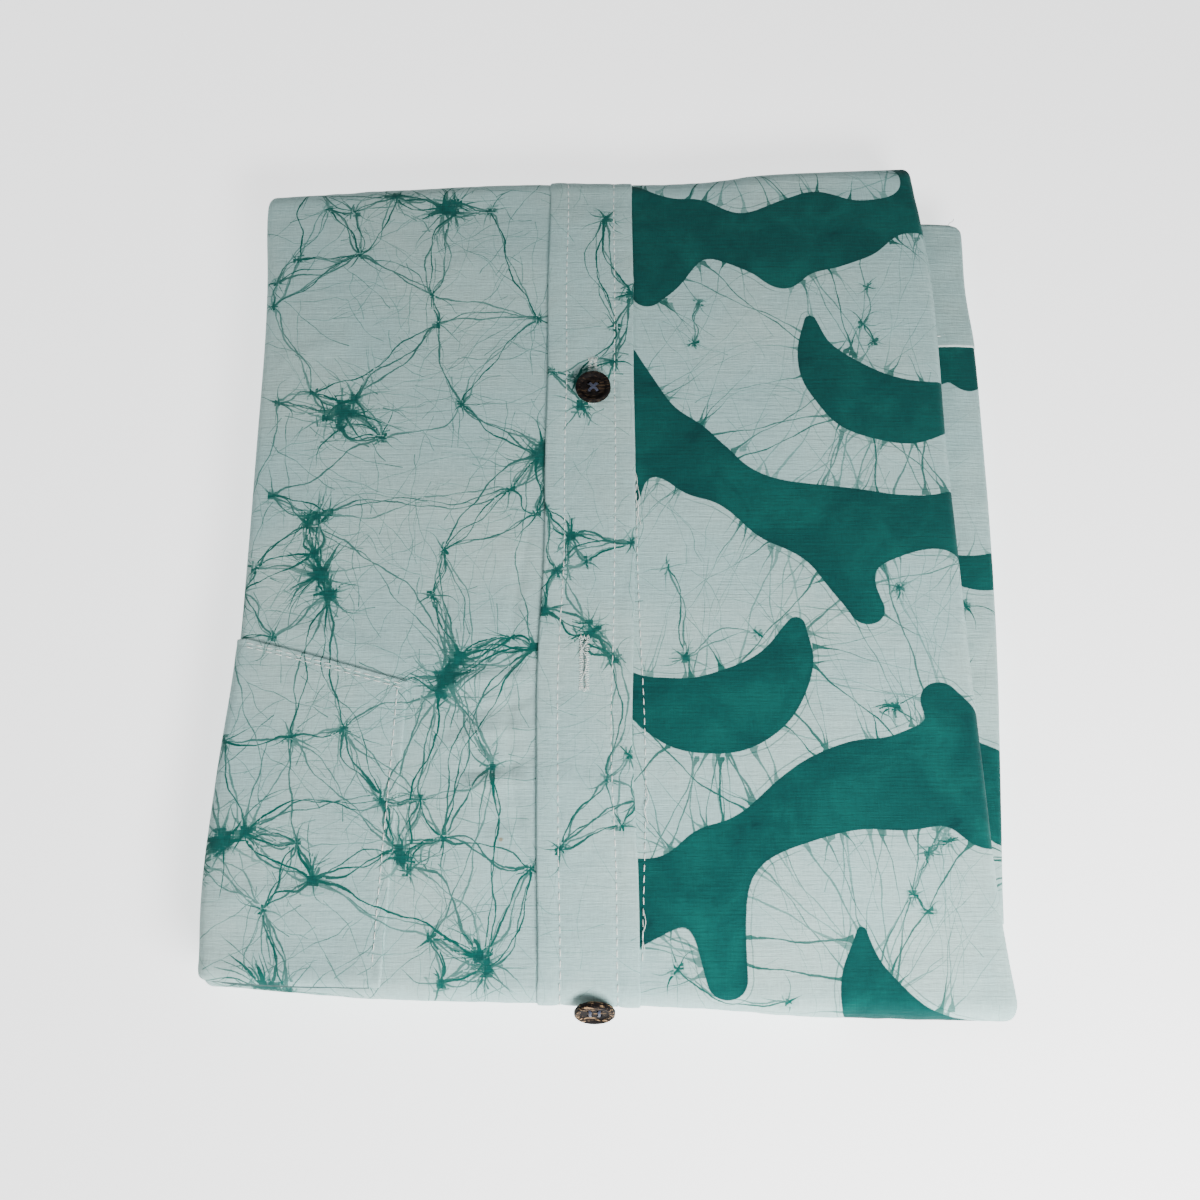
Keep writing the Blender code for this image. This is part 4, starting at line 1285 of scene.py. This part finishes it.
# ---- Stitches: Geometry Nodes ----
def stitch_tree():
    """Lays one stitch at each point, along its heading, with a little unevenness."""
    tree = bpy.data.node_groups.new("laid_stitches", "GeometryNodeTree")
    for name, kind in (("Geometry", "Geometry"), ("Length", "Float"), ("Thickness", "Float"),
                       ("Unevenness", "Float"), ("Seed", "Int"), ("Thread", "Material")):
        tree.interface.new_socket(name, in_out="INPUT", socket_type="NodeSocket" + kind)
    tree.interface.new_socket("Geometry", in_out="OUTPUT", socket_type="NodeSocketGeometry")

    def add(kind, output, sockets=(), **settings):
        return add_node(tree, kind, settings, sockets).outputs[output]

    start = add_node(tree, "NodeGroupInput").outputs
    ball = add("GeometryNodeMeshUVSphere", "Mesh", {"Segments": 7, "Rings": 5, "Radius": 0.5})
    size = add("ShaderNodeCombineXYZ", "Vector",
               {"X": start["Length"], "Y": start["Thickness"], "Z": start["Thickness"]})
    shaped = add("GeometryNodeTransform", "Geometry", {"Geometry": ball, "Scale": size})
    heading, outward = (
        add("GeometryNodeInputNamedAttribute", "Attribute", {"Name": name}, data_type="FLOAT_VECTOR")
        for name in ("heading", "outward"))
    along = add("FunctionNodeAlignRotationToVector", "Rotation", {"Vector": heading}, axis="X")
    upright = add("FunctionNodeAlignRotationToVector", "Rotation",
                  {"Rotation": along, "Vector": outward}, axis="Z", pivot_axis="X")
    chance = add("FunctionNodeRandomValue", 1, {"Seed": start["Seed"]}, data_type="FLOAT")
    shifted = add("ShaderNodeMath", 0, {0: chance, 1: 0.5}, operation="SUBTRACT")
    spread = add("ShaderNodeMath", 0, {0: shifted, 1: start["Unevenness"]}, operation="MULTIPLY")
    turned = add("ShaderNodeCombineXYZ", "Vector", {"Z": spread})
    wobble = add("FunctionNodeEulerToRotation", "Rotation", {0: turned})
    both = add("FunctionNodeRotateRotation", "Rotation", {"Rotation": upright, "Rotate By": wobble},
               rotation_space="LOCAL")
    laid = add("GeometryNodeInstanceOnPoints", "Instances",
               {"Points": start["Geometry"], "Instance": shaped, "Rotation": both})
    real = add("GeometryNodeRealizeInstances", "Geometry", {"Geometry": laid})
    dressed = add("GeometryNodeSetMaterial", "Geometry", {"Geometry": real, "Material": start["Thread"]})
    add_node(tree, "NodeGroupOutput", (), {"Geometry": dressed})
    return tree


def stitched(name, tree, rows, thread, length, thickness, seed, unevenness=0.12):
    """Makes stitches of one size. Each row of stitches is its points, headings and outward normals."""
    points, headings, outwards = (np.concatenate([row[k] for row in rows]) for k in range(3))
    seat = mesh_from(name + "_seat", points, [])
    add_values(seat, "heading", headings, "FLOAT_VECTOR")
    add_values(seat, "outward", outwards, "FLOAT_VECTOR")
    modifier = seat.modifiers.new("stitches", "NODES")
    modifier.node_group = tree
    inputs = {item.name: item.identifier for item in tree.interface.items_tree if item.in_out == "INPUT"}
    for key, value in (("Length", length * MM), ("Thickness", thickness * MM),
                       ("Unevenness", unevenness), ("Seed", seed), ("Thread", thread)):
        modifier[inputs[key]] = value
    seat.update_tag()
    evaluated = seat.evaluated_get(bpy.context.evaluated_depsgraph_get())
    mesh = bpy.data.meshes.new_from_object(evaluated)
    mesh.name = name
    for key in ("heading", "outward"):
        if key in mesh.attributes:
            mesh.attributes.remove(mesh.attributes[key])
    mesh.shade_smooth()
    bpy.data.objects.remove(seat)
    return new_object(name, mesh)


def surface_frames(place, values):
    """Points, headings and outward normals of a surface function along one running value."""
    step = 0.05
    points = place(values, 0.0)
    headings = unit(place(values + step, 0.0) - place(values - step, 0.0))
    return points, headings, unit(place(values, 0.4) - points)


def along_values(first, last):
    """Along coordinates one stitch apart on the strip's cloth."""
    cloth = run_rows()
    cloth = cloth[(cloth >= first) & (cloth <= last)]
    v = on_cloth(np.full(cloth.shape, 0.45), cloth)[1]
    return np.interp(np.arange(v[0] + 1.5, v[-1] - 1.0, STITCH_PITCH), v, cloth)


def band_row(side):
    """One row of stitches down the band, a fixed way in from its left or right edge."""
    def place(along, raise_by):
        left, right, y = band_edges(along)
        x = left + BAND_STITCH_INSET if side == "left" else right - BAND_STITCH_INSET
        across = across_at(x, y)
        height = BAND_CLEAR + band_height(along) - 0.3 * 0.8 + 0.08 + relief(*on_cloth(across, along))
        return on_strip(across, along, height + raise_by)
    return surface_frames(place, along_values(-2.95, 3.95))


def top_row(x_at, y_values, height):
    """A row of stitches on top whose x follows y."""
    return surface_frames(lambda y, raise_by: on_top(x_at(y), y, height + raise_by), y_values)


def stand_x(y):
    """The button stand's stitching, which comes out from under the band and bows."""
    return BAND_RIGHT + 0.2 + 2.1 * np.exp(-(((y + 55) / 48) ** 2))


def pocket_slant_row(inset):
    def place(x, raise_by):
        y = reading(POCKET_EDGE, 1, x) - inset
        return on_top(x, y, POCKET_CLEAR + POCKET_HEIGHT - 0.05 + raise_by)
    return surface_frames(place, np.arange(-115.5, -64.0, STITCH_PITCH))


def pocket_side_x(y):
    share = np.clip((y + 123.0) / (123.0 - 28.0), 0, 1)
    return POCKET_SIDE - POCKET_LEAN * (1 - share) - 3.2


def sleeve_row():
    x = np.arange(119.0, 136.0, 3.0)
    y = BAND_START + 4.4 + 0.4 * np.sin(x)
    points = in_model(x, y, np.full(x.shape, SLEEVE_TOP + 0.32))
    return points, np.tile([1.0, 0.0, 0.0], (len(x), 1)), np.tile([0.0, 0.0, 1.0], (len(x), 1))


# ---- Buttonholes and loose threads ----
HOLE_X = -5.2
HOLE_FROM, HOLE_TO = -30.4, -13.8
UPPER_HOLE_X = -2.6
UPPER_HOLE_FROM, UPPER_HOLE_TO = 74.0, 90.6


def band_top(x, y, height):
    """A place on the band's face on top."""
    return on_top(x, y, BAND_CLEAR + band_height(along_at(x, y)) + height)


def whipping(x, start, end, seed):
    """The close stitches round a buttonhole: both lips, and a bar at each end."""
    draw = np.random.default_rng(seed)
    points, headings = [], []
    for side in (-1, 1):
        for y in np.arange(start, end, 0.62):
            points.append((x + side * 0.95 + draw.normal(0, 0.10), y + draw.normal(0, 0.08)))
            headings.append((1.0, draw.normal(0, 0.28), 0.0))
    for y in (start - 0.4, end + 0.3):
        for off in np.arange(-1.5, 1.6, 0.5):
            points.append((x + off, y + draw.normal(0, 0.15)))
            headings.append((draw.normal(0, 0.2), 1.0, 0.0))
    x, y = np.array(points).T
    return band_top(x, y, 0.10), unit(np.array(headings)), np.tile([0.0, 0.0, 1.0], (len(x), 1))


def tube(name, paths, thickness, sides=6):
    """Round threads along paths of points in millimetres, closed at both ends, as one mesh."""
    points, faces = [], []
    for path in paths:
        path = smooth_path(path, 0.25 if len(path) > 2 else 0.4)
        heading = unit(np.gradient(path, axis=0))
        side = unit(np.cross(heading, [0.13, 0.21, 0.97]))
        over = np.cross(heading, side)
        first = len(points)
        for index in range(len(path)):
            for corner in range(sides):
                angle = 2 * math.pi * corner / sides
                points.append(path[index] + thickness / 2 * (side[index] * math.cos(angle)
                                                             + over[index] * math.sin(angle)))
        for index in range(len(path) - 1):
            for corner in range(sides):
                a = first + index * sides + corner
                b = first + index * sides + (corner + 1) % sides
                faces.append([a, b, b + sides, a + sides])
        faces.append([first + corner for corner in range(sides)][::-1])
        faces.append([first + (len(path) - 1) * sides + corner for corner in range(sides)])
    return mesh_from(name, np.array(points), faces)


def loose_threads():
    """Thread ends: at the button stand, on the empty buttonhole, and at the sleeve's corner."""
    def on_front(rows):
        return [tuple(on_strip(across_at(x, y), along_at(x, y), h + 0.3)) for x, y, h in rows]

    def on_band(rows):
        return [tuple(band_top(x, y, h)) for x, y, h in rows]

    stand = [
        on_front([(12.2, 47, 0.1), (12.9, 43, 0.5), (12.0, 38, 0.7), (13.2, 33, 0.6), (12.6, 29, 0.3)]),
        on_front([(12.8, 42, 0.2), (13.6, 37, 0.8), (13.0, 32, 0.5), (13.9, 27, 0.2)]),
        on_front([(14.4, -62, 0.2), (15.2, -66, 0.6), (14.0, -70, 0.5), (15.0, -74, 0.2)]),
        on_front([(13.2, -100, 0.2), (13.9, -104, 0.6), (12.9, -108, 0.5), (13.6, -112, 0.2)]),
    ]
    hole = [
        on_band([(-6.6, -15, 0.2), (-5.8, -18, 0.8), (-4.2, -21, 0.9), (-4.8, -25, 0.6),
                 (-6.2, -28, 0.2)]),
        on_band([(-4.0, -14, 0.2), (-5.0, -16.5, 0.9), (-6.4, -19, 0.7), (-5.4, -22, 0.3)]),
        on_band([(-6.0, -30.5, 0.1), (-5.2, -32, 0.7), (-4.2, -31, 0.9), (-4.6, -28.6, 0.3)]),
    ]
    corner = in_model(sleeve_edge(153.0) - 4.6, BAND_END, SLEEVE_TOP)
    end = [[tuple(corner + off)
            for off in ((0, -0.3, 0.1), (0.8, 0.9, 0.5), (2.0, 1.6, 0.5), (2.6, 2.9, 0.1))]]
    return tube("loose_threads", stand + hole + end, 0.24)


def painted_slit_shade_piece(x, start, end, name):
    """Painted shade: a dark lens between a buttonhole's lips, standing in for the shade in its narrow
    opening.
    """
    y = np.linspace(start + 0.5, end - 0.5, 30)
    share = (y - y[0]) / (y[-1] - y[0])
    half = 0.34 * np.sqrt(np.maximum(4 * share * (1 - share), 0)) + 0.02
    rows = [band_top(x + side * half, y, 0.03 + (0.02 if side == 0 else 0.0)) for side in (-1, 0, 1)]
    points = np.stack(rows, axis=1)
    return mesh_from(name, points, grid_faces(len(y), 3))


def pocket_mouth_painted_shade_piece():
    """Painted shade: a narrow dark strip along the pocket's mouth, standing in for the shade in the gap
    under it.
    """
    x = np.linspace(-116.5, -69.0, 60)
    share = (x - x[0]) / (x[-1] - x[0])
    reach = 0.6 * smooth(share * 8) * (1 - 0.7 * share)
    mouth = reading(POCKET_EDGE, 2, x)
    overhang = MOUTH_STAND * (near_edge(x) + NEAR_ROLL - mouth) / NEAR_ROLL
    rows = [on_top(x, mouth + 0.5, 0.25), on_top(x, mouth - overhang, 0.3),
            on_top(x, mouth - overhang - reach, 0.12)]
    return mesh_from("pocket_mouth_painted_shade", np.stack(rows, axis=1), grid_faces(len(x), 3)[:, ::-1])


# ---- Buttons ----
BUTTON_THICKNESS = 2.6
HOLE_SPACING = 2.9


def button_frame(node):
    """A button's middle and its face's two axes and normal, from its solid."""
    low, high = (np.array(corner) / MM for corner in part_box(node))
    middle = (low + high) / 2
    tilt = 0.0 if node == "button_upper" else math.radians(66.0)
    right = np.array([1.0, 0.0, 0.0])
    up = np.array([0.0, math.cos(tilt), math.sin(tilt)])
    return middle, right, up, np.cross(right, up)


def button_thread(name, node, crossed):
    """Thread through the four holes, and the shank under the button."""
    middle, right, up, out = button_frame(node)
    reach = HOLE_SPACING / 2
    face = 0.16 * BUTTON_THICKNESS

    def at(a, b, c):
        return tuple(middle + right * a + up * b + out * c)

    back = -BUTTON_THICKNESS / 2 - 0.3
    rise = 0.34 if crossed else 0.26
    paths = []
    crosses, bars = ((-1, -1, 1, 1), (-1, 1, 1, -1)), ((-1, -1, -1, 1), (1, -1, 1, 1))
    for a0, b0, a1, b1 in crosses if crossed else bars:
        stops = ((a0, b0, 1.0, back), (a0, b0, 1.0, face - 0.1), (a0, b0, 0.86, face + 0.16),
                 ((a0 + a1) / 2, (b0 + b1) / 2, 1.0, face + rise),
                 (a1, b1, 0.86, face + 0.16), (a1, b1, 1.0, face - 0.1), (a1, b1, 1.0, back))
        for off in (-0.24, 0.0, 0.24):
            du, dv = (off, -off * a0 * b0) if crossed else (off, 0.0)
            paths.append([at(a * reach * share + du, b * reach * share + dv, height)
                          for a, b, share, height in stops])
    return tube(name, paths, 0.34)


# ---- Stage ----
FLOOR_HALF = 15.0           # metres
FLOOR_GLOW = 1.6
CAMERA_TILT = 19.1          # degrees from straight down
CAMERA_DISTANCE = 386.0
CAMERA_LENS = 34.65
VIEW_MIDDLE = (0.0, 0.0, 18.9)      # drafting frame


def area_light(name, place, target, size, power):
    data = bpy.data.lights.new(name, "AREA")
    data.shape = "RECTANGLE"
    data.size, data.size_y = size
    data.energy = power
    light = new_object(name, data)
    light.location = place
    light.rotation_euler = (Vector(target) - Vector(place)).to_track_quat("-Z", "Y").to_euler()


def stage():
    corners = np.array([(-1, -1, 0), (1, -1, 0), (1, 1, 0), (-1, 1, 0)]) * FLOOR_HALF / MM
    floor = mesh_from("floor", corners + np.array([0, 0, -0.05]), [[0, 1, 2, 3]])
    floor.data.materials.append(floor_finish())

    world = bpy.data.worlds.new("soft_room")
    world.use_nodes = True
    world.node_tree.nodes["Background"].inputs["Color"].default_value = (0.93, 0.97, 1.0, 1.0)
    world.node_tree.nodes["Background"].inputs["Strength"].default_value = 0.245
    bpy.context.scene.world = world
    area_light("near_soft_box", (0.22, -0.42, 0.31), (0.03, -0.14, 0.0), (0.34, 0.14), 5.9)
    area_light("side_soft_box", (-0.8, 0.1, 0.7), (0.0, 0.0, 0.0), (0.35, 0.35), 2.0)

    tilt = math.radians(CAMERA_TILT)
    target = (np.array(VIEW_MIDDLE) - np.array([*FOOTPRINT_MIDDLE, 0.0])) * MM
    data = bpy.data.cameras.new("camera")
    data.lens = CAMERA_LENS
    data.sensor_width = 36.0
    data.clip_start = 0.01
    camera = new_object("camera", data)
    camera.location = target + CAMERA_DISTANCE * MM * np.array([0.0, -math.sin(tilt), math.cos(tilt)])
    camera.rotation_euler = (tilt, 0.0, 0.0)
    bpy.context.scene.camera = camera


# ---- Assembly ----
def dress(piece, material, slot, *nodes):
    piece.data.materials.clear()
    piece.data.materials.append(material)
    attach(piece, "root")
    if nodes:
        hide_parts(*nodes)
    return piece


def build():
    stage()
    left_web, right_web = left_crackle(), right_crackle()
    band_web, sleeve_web = band_crackle(), sleeve_crackle()

    crackled = batik("crackled_cotton", fleck=(-31.0, -79.0))
    figured = batik("figured_cotton", figured=True)
    banded = batik("band_cotton")
    pocketed = batik("pocket_cotton", pale_shift=0.01)
    sleeved = batik("sleeve_cotton", pale_shift=-0.02, figured=True)
    # The sleeve band's cloth carries a painted highlight along its edge.
    plain = batik("plain_cotton", pale_shift=-0.1, dyed=False, painted_highlight_at=BAND_START - 0.5)
    inner = batik("inner_cotton", pale_shift=-0.04, dyed=False)

    left = dress(front_piece("front_left_cloth", -1, 103, left_web), crackled,
                 "batik_crackle", "front_left")
    right = dress(front_piece("front_right_cloth", 1, 134, right_web, FRONT_FIGURES), figured,
                  "batik_figure", "front_right")
    band = dress(placket_piece(band_web), banded, "band_cloth", "placket")
    pocket = dress(pocket_piece(left_web), pocketed, "pocket_cloth", "pocket")
    sleeve = dress(sleeve_cloth("sleeve_cloth", np.linspace(SLEEVE_START, BAND_START + 0.6, 190),
                                0.0, 0.0, sleeve_web, SLEEVE_FIGURES),
                   sleeved, "sleeve_cloth", "sleeve_right")
    cuff = dress(sleeve_cloth("sleeve_band_cloth", np.linspace(BAND_START - 0.5, BAND_END, 56),
                              3.6, 0.3, sleeve_web),
                 plain, "sleeve_band_cloth", "sleeve_band")
    dress(hidden_layers_piece(), inner, "inner_cloth", "folded_layers")

    thread = thread_finish("cotton_thread", 0.8, (214, 222, 216), (246, 248, 242))
    tree = stitch_tree()
    fold_rows = [
        band_row("left"),
        band_row("right"),
        top_row(stand_x, np.arange(-114.0, 46.0, STITCH_PITCH), 0.14),
        pocket_slant_row(1.7),
        pocket_slant_row(3.0),
        top_row(pocket_side_x, np.arange(-121.0, -31.0, STITCH_PITCH), POCKET_CLEAR + POCKET_HEIGHT),
        sleeve_row(),
    ]
    dress(stitched("seam_stitches", tree, fold_rows, thread, STITCH_LENGTH, STITCH_THICKNESS, 7), thread,
          "batik_crackle")
    holes = [whipping(HOLE_X, HOLE_FROM, HOLE_TO, 71),
             whipping(UPPER_HOLE_X, UPPER_HOLE_FROM, UPPER_HOLE_TO, 72)]
    dress(stitched("buttonhole_stitches", tree, holes, thread, 1.7, 0.3, 9, 0.5), thread,
          "batik_crackle")
    dress(loose_threads(), thread, "batik_crackle")
    # Painted shade: a dark lens sheet stands in for the shade inside the buttonhole's opening.
    hole_shade_paint = painted_shade_finish("buttonhole_painted_shade", (84, 104, 102), (134, 158, 155))
    dress(painted_slit_shade_piece(HOLE_X, HOLE_FROM, HOLE_TO, "buttonhole_slit_painted_shade"), hole_shade_paint, "band_cloth")
    # Painted shade: a dark strip along the pocket's mouth stands in for the shade in the gap under it.
    pocket_shade_paint = painted_shade_finish("pocket_painted_shade", (52, 78, 76), (88, 116, 113))
    dress(pocket_mouth_painted_shade_piece(), pocket_shade_paint, "pocket_cloth")
    dark_thread = thread_finish("button_thread", 0.75, (28, 31, 46), (74, 82, 106))
    dress(button_thread("upper_button_thread", "button_upper", True), dark_thread, "batik_crackle")
    dress(button_thread("fold_button_thread", "button_fold", False), dark_thread, "batik_crackle")
    for node, tan, turn in (("button_upper", 0.12, 0.5), ("button_fold", 0.85, 0.1)):
        low, high = (np.array(corner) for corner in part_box(node))
        finish = coconut_finish(f"coconut_{node}", tuple((low + high) / 2), tan, turn)
        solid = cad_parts[node]
        solid.data.materials.clear()
        solid.data.materials.append(finish)


build()
